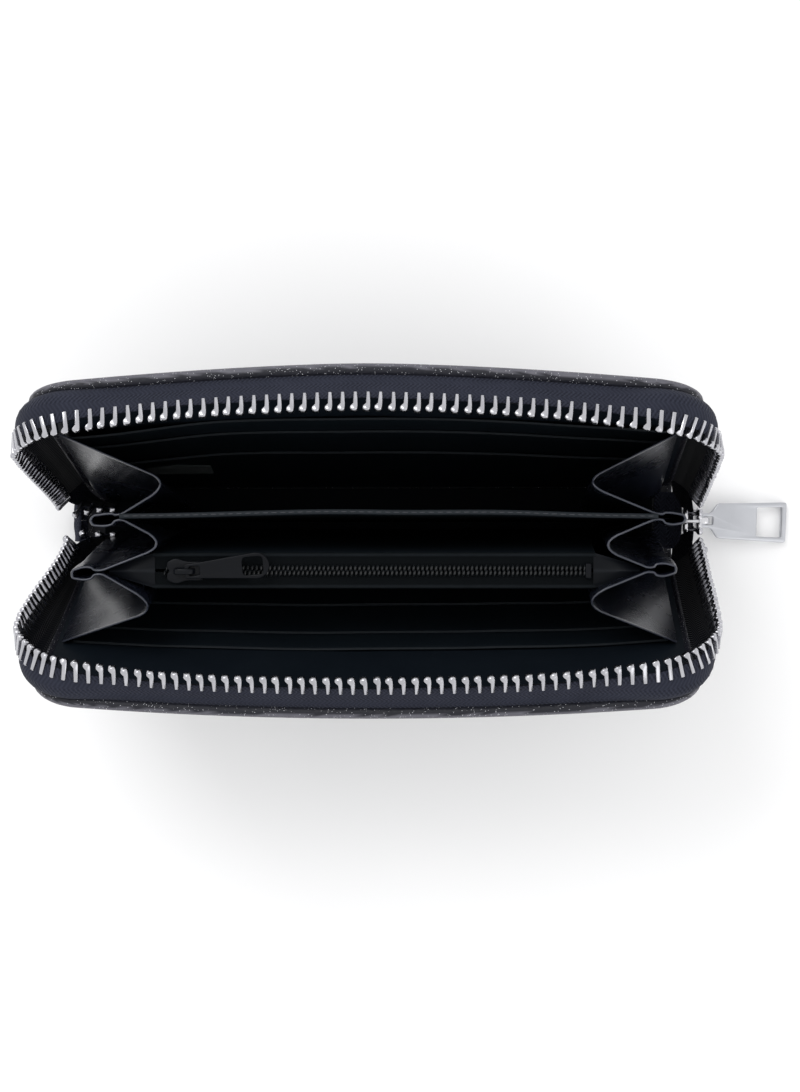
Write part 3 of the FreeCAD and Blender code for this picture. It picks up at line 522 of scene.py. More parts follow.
def mixColours(tree, factor, first, second):
    node = tree.nodes.new("ShaderNodeMix")
    node.data_type = "RGBA"
    colours = [value if hasattr(value, "is_output") else (*value, 1.0) for value in (first, second)]
    return feed(tree, node, {"Factor": factor, "A": colours[0], "B": colours[1]}).outputs["Result"]


def remap(tree, value, low, high):
    node = tree.nodes.new("ShaderNodeMapRange")
    return feed(tree, node, {"Value": value, "To Min": low, "To Max": high}).outputs["Result"]


def addBump(tree, shader, height, strength, distance):
    bump = tree.nodes.new("ShaderNodeBump")
    feed(tree, bump, {"Strength": strength, "Distance": distance * mm, "Height": height})
    tree.links.new(bump.outputs["Normal"], shader.inputs["Normal"])


def leatherMaterial(name, look):
    material, tree, shader = newMaterial(name)
    grain = placeGroup(tree, "leather", {"Grain Scale": look["grain"], "Pebble": look["pebble"],
                                         "Wrinkle": look["wrinkle"]})
    edge = placeGroup(tree, "edge", {"Strength": look["edgeStrength"]})
    body = mixColours(tree, remap(tree, grain["Mottle"], 0.0, 1.0), look["dark"], look["light"])
    # the edge colour is a painted highlight along rims and folds
    body = mixColours(tree, edge["Mask"], body, look["edge"])
    # sparkle mixes painted glints into the colour
    if "sparkle" in look:
        glint = mathNode(tree, "MULTIPLY", grain["Sparkle"], look["sparkle"])
        body = mixColours(tree, glint, body, wearAndHighlightShape["glintColour"])
    rough = remap(tree, grain["Mottle"], *look["rough"])
    feed(tree, shader, {"Base Color": body, "Roughness": rough,
                        "Specular IOR Level": look["specular"],
                        "Coat Weight": look.get("coat", 0.0), "Coat Roughness": 0.22})
    addBump(tree, shader, grain["Height"], look["bump"], look["bumpDepth"])
    return material


def clothMaterial(name, look):
    material, tree, shader = newMaterial(name)
    weave = placeGroup(tree, "weave", {"Thread": look["thread"] * mm, "Rib": look["rib"] * mm})
    # the weave's Shade paints the thread relief as shade, with random blotches of tone
    body = mixColours(tree, weave["Shade"], look["dark"], look["light"])
    fuzz = mathNode(tree, "MULTIPLY", weave["Fuzz"], weaveShape["fuzzShare"])
    body = mixColours(tree, fuzz, body, look["fuzz"])
    # the edge colour is painted shade on the zip tape's inner face and a painted highlight on the coin
    # tape's welt
    edge = placeGroup(tree, "edge", {"Strength": look.get("edgeStrength", 0.0)})
    body = mixColours(tree, edge["Mask"], body, look.get("edge", look["light"]))
    rough = remap(tree, weave["Shade"], *weaveShape["rough"])
    feed(tree, shader, {"Base Color": body, "Roughness": rough, "Sheen Weight": look["sheen"],
                        "Sheen Roughness": 0.4, "Specular IOR Level": 0.06})
    addBump(tree, shader, weave["Height"], weaveShape["bump"], look["bumpDepth"])
    return material


def metalMaterial(name, look):
    material, tree, shader = newMaterial(name)
    wear = placeGroup(tree, "metal", {"Streak Scale": look["streaks"], "Stretch": look["stretch"]})
    feed(tree, shader, {"Base Color": mixColours(tree, wear["Smudge"], look["dark"], look["light"]),
                        "Metallic": look.get("metallic", 1.0),
                        "Specular IOR Level": look.get("specular", 0.5),
                        "Roughness": remap(tree, wear["Streak"], *look["rough"])})
    addBump(tree, shader, wear["Height"], look["bump"], 0.05)
    return material


# edge is the colour of the painted highlight along rims and folds; sparkle is the share of painted glints
leatherLooks = {
    "coverLeather": {"dark": (0.0055, 0.006, 0.010), "light": (0.014, 0.0145, 0.022),
                     "edge": (0.12, 0.118, 0.14), "grain": 1050.0, "pebble": 0.9, "wrinkle": 0.2,
                     "edgeStrength": 0.9, "sparkle": 1.4, "rough": (0.38, 0.62), "bump": 0.7,
                     "bumpDepth": 0.18, "specular": 0.3},
    "liningLeather": {"dark": (0.0036, 0.0056, 0.0086), "light": (0.0080, 0.0115, 0.0165),
                      "edge": (0.010, 0.012, 0.014), "grain": 700.0, "pebble": 0.3, "wrinkle": 0.8,
                      "edgeStrength": 0.4, "rough": (0.42, 0.6), "bump": 0.4, "bumpDepth": 0.12,
                      "specular": 0.06},
    # painted shade: a darker copy of the lining leather for the spine's floor, deep down between the gussets
    "floorLeather": {"dark": (0.0012, 0.0018, 0.0028), "light": (0.0030, 0.0042, 0.0060),
                     "edge": (0.004, 0.005, 0.006), "grain": 700.0, "pebble": 0.3, "wrinkle": 0.8,
                     "edgeStrength": 0.2, "rough": (0.5, 0.66), "bump": 0.4, "bumpDepth": 0.12,
                     "specular": 0.03},
    "cardLeather": {"dark": (0.0040, 0.0064, 0.0092), "light": (0.0080, 0.0118, 0.0160),
                    "edge": (0.020, 0.024, 0.028), "grain": 760.0, "pebble": 0.3, "wrinkle": 0.6,
                    "edgeStrength": 0.7, "rough": (0.4, 0.58), "bump": 0.4, "bumpDepth": 0.1,
                    "specular": 0.12},
    "gussetLeather": {"dark": (0.0028, 0.0038, 0.0062), "light": (0.0075, 0.0095, 0.018),
                      "edge": (0.040, 0.045, 0.062), "grain": 620.0, "pebble": 0.12, "wrinkle": 0.8,
                      "edgeStrength": 0.8, "rough": (0.2, 0.34), "bump": 0.3, "bumpDepth": 0.12,
                      "specular": 0.45, "coat": 0.25},
    "tabLeather": {"dark": (0.0022, 0.0030, 0.0042), "light": (0.005, 0.006, 0.0085),
                   "edge": (0.022, 0.025, 0.030), "grain": 700.0, "pebble": 0.2, "wrinkle": 0.5,
                   "edgeStrength": 0.6, "rough": (0.36, 0.5), "bump": 0.35, "bumpDepth": 0.1,
                   "specular": 0.1},
}
# edge is painted shade on the zip tape's inner face and a painted highlight on the coin tape's welt
clothLooks = {
    "zipTapeCloth": {"dark": (0.0015, 0.0018, 0.005), "light": (0.036, 0.040, 0.060),
                     "fuzz": (0.062, 0.066, 0.090), "edge": (0.0028, 0.0034, 0.0058),
                     "edgeStrength": 1.6, "thread": 1.25, "rib": 1.9, "sheen": 0.05,
                     "bumpDepth": 0.3},
    "coinTapeCloth": {"dark": (0.0005, 0.0009, 0.0012), "light": (0.0034, 0.0046, 0.0056),
                      "fuzz": (0.006, 0.008, 0.010), "edge": (0.012, 0.015, 0.018),
                      "edgeStrength": 0.7, "thread": 0.55, "rib": 1.3, "sheen": 0.02,
                      "bumpDepth": 0.14},
    "labelCloth": {"dark": (0.030, 0.038, 0.040), "light": (0.064, 0.076, 0.078),
                   "fuzz": (0.09, 0.10, 0.10), "thread": 0.4, "rib": 0.8, "sheen": 0.05,
                   "bumpDepth": 0.08},
    "stitchThread": {"dark": (0.026, 0.029, 0.034), "light": (0.075, 0.08, 0.09),
                     "fuzz": (0.10, 0.10, 0.11), "thread": 0.25, "rib": 0.5, "sheen": 0.05,
                     "bumpDepth": 0.05},
}
metalLooks = {
    "toothMetal": {"dark": (0.36, 0.36, 0.39), "light": (0.60, 0.60, 0.63), "streaks": 900.0,
                   "stretch": 0.6, "rough": (0.18, 0.32), "bump": 0.25},
    "pullMetal": {"dark": (0.44, 0.45, 0.48), "light": (0.52, 0.53, 0.56), "streaks": 1500.0,
                  "stretch": 0.04, "rough": (0.26, 0.4), "bump": 0.12},
    "brightMetal": {"dark": (0.55, 0.55, 0.58), "light": (0.74, 0.74, 0.76), "streaks": 600.0,
                    "stretch": 0.5, "rough": (0.12, 0.24), "bump": 0.08},
    "blackMetal": {"dark": (0.0012, 0.0016, 0.0026), "light": (0.004, 0.005, 0.0075),
                   "streaks": 700.0, "stretch": 0.5, "rough": (0.24, 0.38), "bump": 0.15,
                   "metallic": 0.0, "specular": 0.14},
    "coilNylon": {"dark": (0.0022, 0.003, 0.0038), "light": (0.008, 0.010, 0.012), "streaks": 900.0,
                  "stretch": 0.5, "rough": (0.28, 0.42), "bump": 0.1, "metallic": 0.0},
}
materials = {}
for looks, makeMaterial in ((leatherLooks, leatherMaterial), (clothLooks, clothMaterial),
                            (metalLooks, metalMaterial)):
    for name, look in looks.items():
        materials[name] = makeMaterial(name, look)
print("materials made")


# covers: outer skin, lining and card slots

# nearRim: places close to a rim, as shares of the rim's radius and millimetres on top
panelLook = {"columns": 44, "rows": 26, "cornerSteps": 12,
             "nearRim": ((0, 0), (0.12, 0), (0.4, 0), (0.9, 0), (1.3, 0), (2, 0.6), (2, 2.5),
                         (2, 5))}


def spreadOut(low, high, count, near):
    # positions from low to high, closer together by both ends
    span = high - low
    ends = [offset for offset in near if offset < span * 0.3]
    spread = [low + offset for offset in ends[:-1]]
    spread += [low + ends[-1] + (span - 2 * ends[-1]) * i / count for i in range(count + 1)]
    return spread + [high - offset for offset in ends[-2::-1]]


def panel(name, side, low, high, half, radius, nearW, farW, material, inner, edgeReach=0.6,
          shift=lambda u, v: 0.0, outerRimOnly=False):
    # sheet on a cover from depth nearW to farW with rounded rims; inner(u, v, d) is
    # added to its inward face, d being the distance to the nearest rim, and shift(u, v)
    # to the whole sheet
    rim = (farW - nearW) / 2
    near = [rim * share + more for share, more in panelLook["nearRim"]]
    heights = spreadOut(low, high, panelLook["rows"], near)
    bend = high - radius
    if radius > 0:
        heights = [v for v in heights if v < bend - 0.5]
        heights += [bend + radius * math.sin(angle)
                    for angle in evenSteps(0, math.pi / 2, panelLook["cornerSteps"])]
    across = spreadOut(-1.0, 1.0, panelLook["columns"], [offset / half for offset in near])

    def rimDistance(u, v):
        away = abs(u)
        if v > bend and away > half - radius and radius > 0:
            return radius - math.hypot(away - (half - radius), v - bend)
        return min(half - away, high - v, v - low)

    def cell(v, a):
        narrow = 0.0
        if v > bend and radius > 0:
            narrow = radius - math.sqrt(max(radius ** 2 - (v - bend) ** 2, 0.0))
        u = a * (half - narrow)
        d = max(rimDistance(u, v), 0.0)
        inset = rim - math.sqrt(max(rim ** 2 - (rim - min(d, rim)) ** 2, 0.0))
        extra = inner(u, v, d) if d > rim else 0.0
        push = shift(u, v)
        upperRim = min(high - v, d + 9 * (v < bend - 1))   # the side rims count only above the bend
        # the last value is the edge mark, a painted highlight along the upper rims
        return (coverPoint(side, u, v, nearW + inset + push),
                coverPoint(side, u, v, farW - inset + extra + push),
                (u * mm, v * mm), 1 - smoothStep(0.0, edgeReach, upperRim))

    return gridShell(name, heights, across, cell, material, 38, outerRimOnly)


# the last value is how far the painted highlight along the cover's outer rim reaches
skin = {"thickness": 3.3, "turnIn": 2.0, "turnSlope": 1.6, "innerDepth": 1.7, "foot": 1.0,
        "rimHighlightReach": 2.4}
liningSheet = {"near": 2.0, "far": 2.6, "inset": 2.4, "foot": 3.0, "wave": 0.5, "ripple": 0.16,
               "lowest": -0.15}
cardSheets = (
    {"number": 3, "near": 2.66, "far": 3.10, "top": 64.0},
    {"number": 2, "near": 3.16, "far": 3.60, "top": 55.0},
    {"number": 1, "near": 3.66, "far": 4.12, "top": 38.5},
)
# sag is how far the free ends lean inwards, left and right
cardShape = {"inset": 7.5, "foot": 4.0, "fold": 0.22, "wave": 0.12, "lean": 0.9,
             "sag": {1: (2.4, 1.4), -1: (0.3, 0.5)}}


def makeCovers():
    for side, name in sideNames.items():
        def skinInner(u, v, d):
            # inside the turned edge the skin is thinner and the lining covers it
            step = smoothStep(skin["turnIn"], skin["turnIn"] + skin["turnSlope"], d)
            return (skin["innerDepth"] - skin["thickness"]) * step

        outer = panel(name + "_cover_skin", side, skin["foot"], wallet["top"], wallet["half"],
                      wallet["corner"], 0.0, skin["thickness"], materials["coverLeather"],
                      skinInner, skin["rimHighlightReach"], outerRimOnly=True)
        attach(outer, coverBody[side])
        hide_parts(name + "_cover_leather", name + "_edge_piping", name + "_cover_board")

        def liningInner(u, v, d):
            wave = softNoise((u, v, side * 40), 26, 1) * liningSheet["wave"]
            ripple = softNoise((u, v * 0.5, side * 9), 9, 2) * liningSheet["ripple"]
            return max(wave + ripple, liningSheet["lowest"]) * smoothStep(0.5, 6, d)

        inset = liningSheet["inset"]
        lining = panel(name + "_lining_sheet", side, liningSheet["foot"], wallet["top"] - inset,
                       wallet["half"] - inset, wallet["corner"] - inset, liningSheet["near"],
                       liningSheet["far"], materials["liningLeather"], liningInner)
        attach(lining, coverBody[side])
        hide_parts(name + "_cover_lining")
        for sheet in cardSheets:
            top = sheet["top"]

            def cardInner(u, v, d):
                folded = cardShape["fold"] * (1 - smoothStep(2.0, 2.6, top - v))
                wave = softNoise((u, v, side * 30 + top), 30, 3) * cardShape["wave"]
                return folded + wave * smoothStep(0.5, 5, d)

            def cardShift(u, v):
                atEnd = smoothStep(40, 84, abs(u)) * cardShape["sag"][side][0 if u < 0 else 1]
                wave = (softNoise((u, side * 50, top * 0.2), 42, 4) + 0.4) * cardShape["lean"]
                return (atEnd + max(wave, 0.0)) * (v / top) ** 2

            card = panel("%s_card_pocket_%d" % (name, sheet["number"]), side, cardShape["foot"],
                         top, wallet["half"] - cardShape["inset"], 0.0, sheet["near"], sheet["far"],
                         materials["cardLeather"], cardInner, 0.55, cardShift)
            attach(card, coverBody[side])
            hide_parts("%s_card_slot_%d" % (name, sheet["number"]))
    print("covers, linings and card slots made")


# spine and the folds that join it to the covers

spineShape = {"half": 92.0, "edge": 10.8, "thickness": 1.2, "rim": 0.45, "foldSteps": 9,
              "foldTop": 2.4, "columns": 30, "liningInset": 0.7, "liningTop": 2.6,
              "liningShare": 0.985}


def makeSpine():
    half, edge, thick = spineShape["half"], spineShape["edge"], spineShape["thickness"]
    rim, inset = spineShape["rim"], spineShape["liningInset"]
    xs = evenSteps(-half, half, spineShape["columns"])
    path = [(Vector((x, 0, 0)), Vector((0, 1, 0)), Vector((0, 0, 1))) for x in xs]
    base = sweptTube("spine_skin", path, oblong(-edge, 0, edge, thick, rim, 3),
                     materials["coverLeather"])
    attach(base, "spine")
    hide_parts("spine_leather", "spine_board")
    ply = oblong(inset - edge, thick - 0.1, edge - inset, spineShape["liningTop"], rim, 3)
    path = [(point, across * spineShape["liningShare"], up) for point, across, up in path[1:-1]]
    lining = sweptTube("spine_lining_sheet", path, ply, materials["floorLeather"])
    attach(lining, "spine")
    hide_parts("spine_lining")
    for side, name in sideNames.items():
        low = [Vector((0, side * (edge - 0.3), z)) for z in (0.0, thick)]
        high = [coverPoint(side, 0, spineShape["foldTop"], w) for w in (0.0, thick)]
        corner = [Vector((0, high[0].y - side * 0.4, -0.02)),
                  Vector((0, side * (edge + 0.9), thick + 0.1))]

        def cell(t, x):
            places = [a * (1 - t) ** 2 + m * 2 * t * (1 - t) + b * t * t
                      for a, m, b in zip(low, corner, high)]
            return (*(Vector((x, place.y, place.z)) for place in places),
                    (x * mm, t * 4 * mm), 0.0)

        fold = gridShell(name + "_hinge_fold", evenSteps(0, 1, spineShape["foldSteps"]), xs, cell,
                         materials["coverLeather"])
        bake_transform(fold, "spine", coverBody[side], low[0] * mm, high[0] * mm)
    print("spine made")


# zip tapes

zipTape = {"root": (-2.1, 2.9), "thickness": 0.6, "across": 9, "runSteps": 12, "width": 9.2,
           "wave": 0.25, "shut": 0.78}
# the tooth edge of the tapes runs round a longer and softer oblong than the covers' rim
toothEdge = {"half": 97.3, "top": 99.6, "corner": 24.0}
# how deep the tooth edge lies, and where the tape turns on its way to it: outward
# distance and depth, in the middle, at the corners and down the sides
toothDepth = {"middle": 11.2, "corner": 12.4, "side": 11.2, "foot": 8.4}
# how far the tooth edge comes in again towards the foot of each side
footDraw = {(1, "left"): 0.6, (1, "right"): 0.0, (-1, "left"): 3.6, (-1, "right"): 0.0}
tapeTurn = {"middle": (-0.25, 7.05), "corner": (5.0, 4.0), "left": (0.6, 5.0), "right": (2.2, 4.8)}
stationCount = {"flat": 56, "bend": 9, "side": 20}
# where the lower runs of the tapes end: x, y of the tape's sewn edge and of its tooth
# edge, both heights, and which way they arrive
runEnds = {
    -1: {"root": (-82.0, 5.2, 2.8), "tip": (-80.6, 4.4, 12.2), "arrive": (14.0, -0.5, 0.0),
         "leave": (0.0, -9.0, -5.0)},
    1: {"root": (92.2, 6.5, 3.0), "tip": (97.6, 1.5, 12.4), "arrive": (0.0, -4.0, 0.0),
        "leave": (0.5, -3.0, -2.0)},
}


def rimStations():
    # distances along the rim from the left foot to the right foot
    flat = wallet["half"] - wallet["corner"]
    bend = flat + wallet["corner"] * math.pi / 2
    oneSide = evenSteps(0, flat, stationCount["flat"] // 2)[:-1]
    oneSide += evenSteps(flat, bend, stationCount["bend"])[:-1]
    oneSide += evenSteps(bend, rimLength, stationCount["side"])
    return [-value for value in oneSide[::-1]] + oneSide[1:]


toothEdgeRate = edgeLength(wallet["rowFoot"], toothEdge["half"], toothEdge["top"],
                           toothEdge["corner"]) / rimLength


def blendPair(a, b, t):
    return lerp(a[0], b[0], t), lerp(a[1], b[1], t)


def tapeFrame(side, along, t):
    # point on the tape's inner face at t across it, and its width direction in the world
    away, end = abs(along), "left" if along < 0 else "right"
    depth = lerp(toothDepth["middle"], toothDepth["corner"], smoothStep(44, 84, away))
    depth = lerp(depth, toothDepth["side"], smoothStep(94, 118, away))
    depth = lerp(depth, toothDepth["foot"], smoothStep(118, rimLength, away))
    turn = blendPair(tapeTurn["middle"], tapeTurn["corner"], smoothStep(62, 90, away))
    turn = blendPair(turn, tapeTurn[end], smoothStep(102, 128, away))
    draw = footDraw[side, end] * smoothStep(112, rimLength - 8, away)
    rootU, rootV, _, _ = rimPoint(along, zipTape["root"][0])
    turnU, turnV, _, _ = rimPoint(along, turn[0] - draw * 0.4)
    tipU, tipV, _, _ = edgePoint(along * toothEdgeRate, -draw, toothEdge["half"], toothEdge["top"],
                                 toothEdge["corner"])
    root = Vector((rootU, rootV, zipTape["root"][1]))
    middle = Vector((turnU, turnV, turn[1]))
    tip = Vector((tipU, tipV, depth))
    place = root * (1 - t) ** 2 + middle * 2 * t * (1 - t) + tip * t * t
    slope = (middle - root) * (1 - t) + (tip - middle) * t
    return coverPoint(side, *place), coverVector(side, *slope).normalized()


def hermite(start, startPull, finish, finishPull, t):
    a = 2 * t ** 3 - 3 * t ** 2 + 1
    b = t ** 3 - 2 * t ** 2 + t
    c = -2 * t ** 3 + 3 * t ** 2
    d = t ** 3 - t ** 2
    return start * a + startPull * b + finish * c + finishPull * d


def runFrame(side, end, t, along):
    # the same for the free run between the cover and the spine's end; t is across,
    # along goes from 0 at the cover to 1
    foot = end * rimLength
    here = tapeFrame(side, foot, t)[0]
    goal = runEnds[end]
    root, tip = (Vector((x, side * y, z)) for x, y, z in (goal["root"], goal["tip"]))
    leaving, arriving = (Vector((x, side * y, z)) for x, y, z in (goal["leave"], goal["arrive"]))
    place = hermite(here, leaving, root.lerp(tip, t), arriving, along)
    low = hermite(tapeFrame(side, foot, 0)[0], leaving, root, arriving, along)
    high = hermite(tapeFrame(side, foot, 1)[0], leaving, tip, arriving, along)
    return place, (high - low).normalized()


def tapeSkin(name, stations, frameAt, outwardSign):
    # closed strip: frameAt(station, t) gives a point and its width direction
    # its inner face carries the edge mark, painted shade in the tape cloth
    across, thickness = zipTape["across"], zipTape["thickness"]
    widths = [0.0, 0.02] + [i / across for i in range(1, across)] + [0.98, 1.0]
    forwards = directions([frameAt(station, 1.0)[0] for station in stations])
    middles = [frameAt(station, 0.5)[0] for station in stations]
    travelled = [0.0]
    for here, there in zip(middles, middles[1:]):
        travelled.append(travelled[-1] + (there - here).length)

    def cell(index, t):
        point, axis = frameAt(stations[index], t)
        normal = axis.cross(forwards[index]).normalized() * outwardSign
        wave = softNoise(point, 14, 5) * zipTape["wave"] * t
        rounding = 0.5 if t in (0.0, 1.0) else 0.0
        return (point + normal * (thickness * rounding + wave),
                point + normal * (thickness * (1 - rounding) + wave),
                (travelled[index] * mm, t * zipTape["width"] * mm), 1.0)

    return gridShell(name, range(len(stations)), widths, cell, materials["zipTapeCloth"], 60, True)


def flattenShut(piece, side):
    # gives the piece a mesh of its own; the anchor on the cover is worked out but not used
    anchor = coverPoint(side, wallet["half"], wallet["top"] / 2, zipTape["root"][1])
    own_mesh(piece)


def blendDown(piece, side, end):
    # follows the cover at the top of the run and the spine at its foot
    top = tapeFrame(side, end * rimLength, 0.0)[0]
    start = Vector((top.x, side * 4.0, 9.0))
    finish = Vector((top.x, top.y - side * 2, top.z - 0.6))
    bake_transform(piece, "spine", coverBody[side], start * mm, finish * mm)


# the tapes' ends turned round both ends of the spine: from and to, x and z, how far
# they bulge, and half their width
tapeFolds = {
    "left": {"from": (-90.6, 1.6), "to": (-91.4, 8.6), "bulge": -3.8, "width": 6.4},
    "right": {"from": (86.4, 2.2), "to": (94.4, 6.8), "bulge": 0.8, "width": 8.8},
}


def tapeFold(name, side, shape):
    half = zipTape["thickness"] / 2
    outwards = -1 if shape["bulge"] < 0 else 1

    def foldPoint(t, y, lift):
        x, z = blendPair(shape["from"], shape["to"], t)
        x += shape["bulge"] * math.sin(math.pi * (0.12 + 0.78 * t)) + lift * outwards
        return Vector((x + softNoise((side * y, t * 9, 0), 5, 7) * 0.5, side * y, z))

    def cell(t, y):
        return foldPoint(t, y, half), foldPoint(t, y, -half), (y * mm, t * 10 * mm), 0.0

    return gridShell(name, evenSteps(0, 1, 14), evenSteps(0.02, shape["width"], 8), cell,
                     materials["zipTapeCloth"])


def makeTapes():
    stations = rimStations()
    for side, name in sideNames.items():
        tape = tapeSkin(name + "_zip_tape_cloth", stations,
                        lambda station, t: tapeFrame(side, station, t), side)
        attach(tape, coverBody[side])
        flattenShut(tape, side)
        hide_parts(name + "_zip_tape")
        for end, endName in endNames.items():
            run = tapeSkin("%s_%s_tape_run" % (name, endName), evenSteps(0, 1, zipTape["runSteps"]),
                           lambda station, t: runFrame(side, end, t, station), side * end)
            blendDown(run, side, end)
        for endName, shape in tapeFolds.items():
            fold = tapeFold("%s_%s_end_fold" % (name, endName), side, shape)
            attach(fold, "spine")
            if endName == "left":
                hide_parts(name + "_tape_open_end")
    print("zip tapes made")


# zip teeth, by geometry nodes along a guide

tooth = {"pitch": 3.4, "depth": 2.0, "sink": 1.7, "neck": 4.3, "headDepth": 0.75, "bevel": 0.17,
         "start": 0.5, "guideStep": 0.85, "runStart": 0.12}
# one tooth's side outline, x along the tape and y out of it
toothOutline = [(-0.56, 0.0), (0.56, 0.0), (0.60, 4.4), (0.66, 5.35), (0.34, 5.95),
                (-0.72, 5.95), (-1.45, 5.5), (-1.38, 4.9), (-0.60, 4.1)]


def toothMesh():
    shell = bmesh.new()
    loops = []
    for half in (-tooth["depth"] / 2, tooth["depth"] / 2):
        head = half * tooth["headDepth"]
        loops.append([shell.verts.new((x, half if y < tooth["neck"] else head, y))
                      for x, y in toothOutline])
    shell.faces.new(loops[0])
    shell.faces.new(loops[1][::-1])
    joinLoops(shell, loops)
    bmesh.ops.recalc_face_normals(shell, faces=shell.faces[:])
    bmesh.ops.bevel(shell, geom=shell.edges[:], offset=tooth["bevel"], segments=1, affect="EDGES",
                    profile=0.5, clamp_overlap=True)
    bmesh.ops.triangulate(shell, faces=shell.faces[:])
    return meshInMetres("tooth_pattern", shell)


def alongPathTree(name):
    # places an object at even steps along a guide, turned to the guide's own direction
    tree = bpy.data.node_groups.new(name, "GeometryNodeTree")
    sockets = {}
    for label, kind in (("Guide", "Geometry"), ("Pattern", "Object"), ("Pitch", "Float"),
                        ("Scatter", "Float"), ("Seed", "Int"), ("Finish", "Material")):
        sockets[label] = tree.interface.new_socket(name=label, in_out="INPUT",
                                                   socket_type="NodeSocket" + kind)
    tree.interface.new_socket(name="Pieces", in_out="OUTPUT", socket_type="NodeSocketGeometry")
    kinds = {"source": "NodeGroupInput", "result": "NodeGroupOutput",
             "curve": "GeometryNodeMeshToCurve", "resample": "GeometryNodeResampleCurve",
             "pattern": "GeometryNodeObjectInfo", "axis": "GeometryNodeInputNamedAttribute",
             "tangent": "GeometryNodeInputTangent", "upright": "FunctionNodeAlignRotationToVector",
             "facing": "FunctionNodeAlignRotationToVector", "wobble": "FunctionNodeRandomValue",
             "spread": "ShaderNodeVectorMath", "euler": "FunctionNodeEulerToRotation",
             "turned": "FunctionNodeRotateRotation", "place": "GeometryNodeInstanceOnPoints",
             "real": "GeometryNodeRealizeInstances", "finish": "GeometryNodeSetMaterial"}
    nodes = {key: tree.nodes.new(kind) for key, kind in kinds.items()}
    nodes["resample"].mode = "LENGTH"
    nodes["axis"].data_type = "FLOAT_VECTOR"
    nodes["upright"].axis = "Z"
    nodes["facing"].axis = "X"
    nodes["facing"].pivot_axis = "Z"
    nodes["wobble"].data_type = "FLOAT_VECTOR"
    nodes["spread"].operation = "SCALE"
    nodes["turned"].rotation_space = "LOCAL"
    feed(tree, nodes["axis"], {"Name": "pieceAxis"})
    feed(tree, nodes["wobble"], {"Min": (-1, -1, -1), "Max": (1, 1, 1)})
    for start, output, goal, entry in (
            ("source", "Guide", "curve", "Mesh"), ("curve", "Curve", "resample", "Curve"),
            ("source", "Pitch", "resample", "Length"), ("resample", "Curve", "place", "Points"),
            ("source", "Pattern", "pattern", "Object"),
            ("pattern", "Geometry", "place", "Instance"),
            ("axis", "Attribute", "upright", "Vector"),
            ("upright", "Rotation", "facing", "Rotation"),
            ("tangent", "Tangent", "facing", "Vector"), ("source", "Seed", "wobble", "Seed"),
            ("wobble", "Value", "spread", 0), ("source", "Scatter", "spread", "Scale"),
            ("spread", "Vector", "euler", "Euler"), ("facing", "Rotation", "turned", "Rotation"),
            ("euler", "Rotation", "turned", "Rotate By"),
            ("turned", "Rotation", "place", "Rotation"),
            ("place", "Instances", "real", "Geometry"), ("real", "Geometry", "finish", "Geometry"),
            ("source", "Finish", "finish", "Material"), ("finish", "Geometry", "result", "Pieces")):
        tree.links.new(nodes[start].outputs[output], nodes[goal].inputs[entry])
    return tree, {label: socket.identifier for label, socket in sockets.items()}


pathTree, pathInputs = alongPathTree("piecesAlongPath")


def piecesAlong(name, guide, pattern, pitch, material, scatter=0.0, seed=1):
    # guide is a list of (point, axis); the result is one plain mesh
    mesh = bpy.data.meshes.new(name + "_guide")
    mesh.from_pydata([point * mm for point, _ in guide],
                     [(i, i + 1) for i in range(len(guide) - 1)], [])
    attribute = mesh.attributes.new("pieceAxis", "FLOAT_VECTOR", "POINT")
    attribute.data.foreach_set("vector", [value for _, axis in guide for value in axis])
    holder = bpy.data.objects.new(name, mesh)
    patternHolder = bpy.data.objects.new(name + "_pattern", pattern)
    for thing in (holder, patternHolder):
        bpy.context.scene.collection.objects.link(thing)
    modifier = holder.modifiers.new("pieces", "NODES")
    modifier.node_group = pathTree
    values = {"Pattern": patternHolder, "Pitch": pitch * mm, "Scatter": scatter, "Seed": seed,
              "Finish": material}
    for label, value in values.items():
        modifier[pathInputs[label]] = value
    evaluated = holder.evaluated_get(bpy.context.evaluated_depsgraph_get())
    plain = bpy.data.meshes.new_from_object(evaluated)
    holder.modifiers.remove(modifier)
    for thing in (holder, patternHolder):
        bpy.data.objects.remove(thing)
    for left in [item.name for item in plain.attributes if item.name == "pieceAxis"]:
        plain.attributes.remove(plain.attributes[left])
    return addToScene(name, plain, material, 40)


def toothGuide(frameAt, places, step, sign):
    # points and directions just outside the tape's inner face, one tooth's seat from its edge
    seat = 1.0 - tooth["sink"] / zipTape["width"]
    guide = []
    for place in places:
        point, axis = frameAt(place, seat)
        before = frameAt(max(place - step, places[0]), seat)[0]
        after = frameAt(min(place + step, places[-1]), seat)[0]
        forward = (after - before).normalized()
        outward = axis.cross(forward).normalized() * sign
        square = (axis - forward * axis.dot(forward)).normalized()
        guide.append((point + outward * zipTape["thickness"] / 2, square))
    return guide


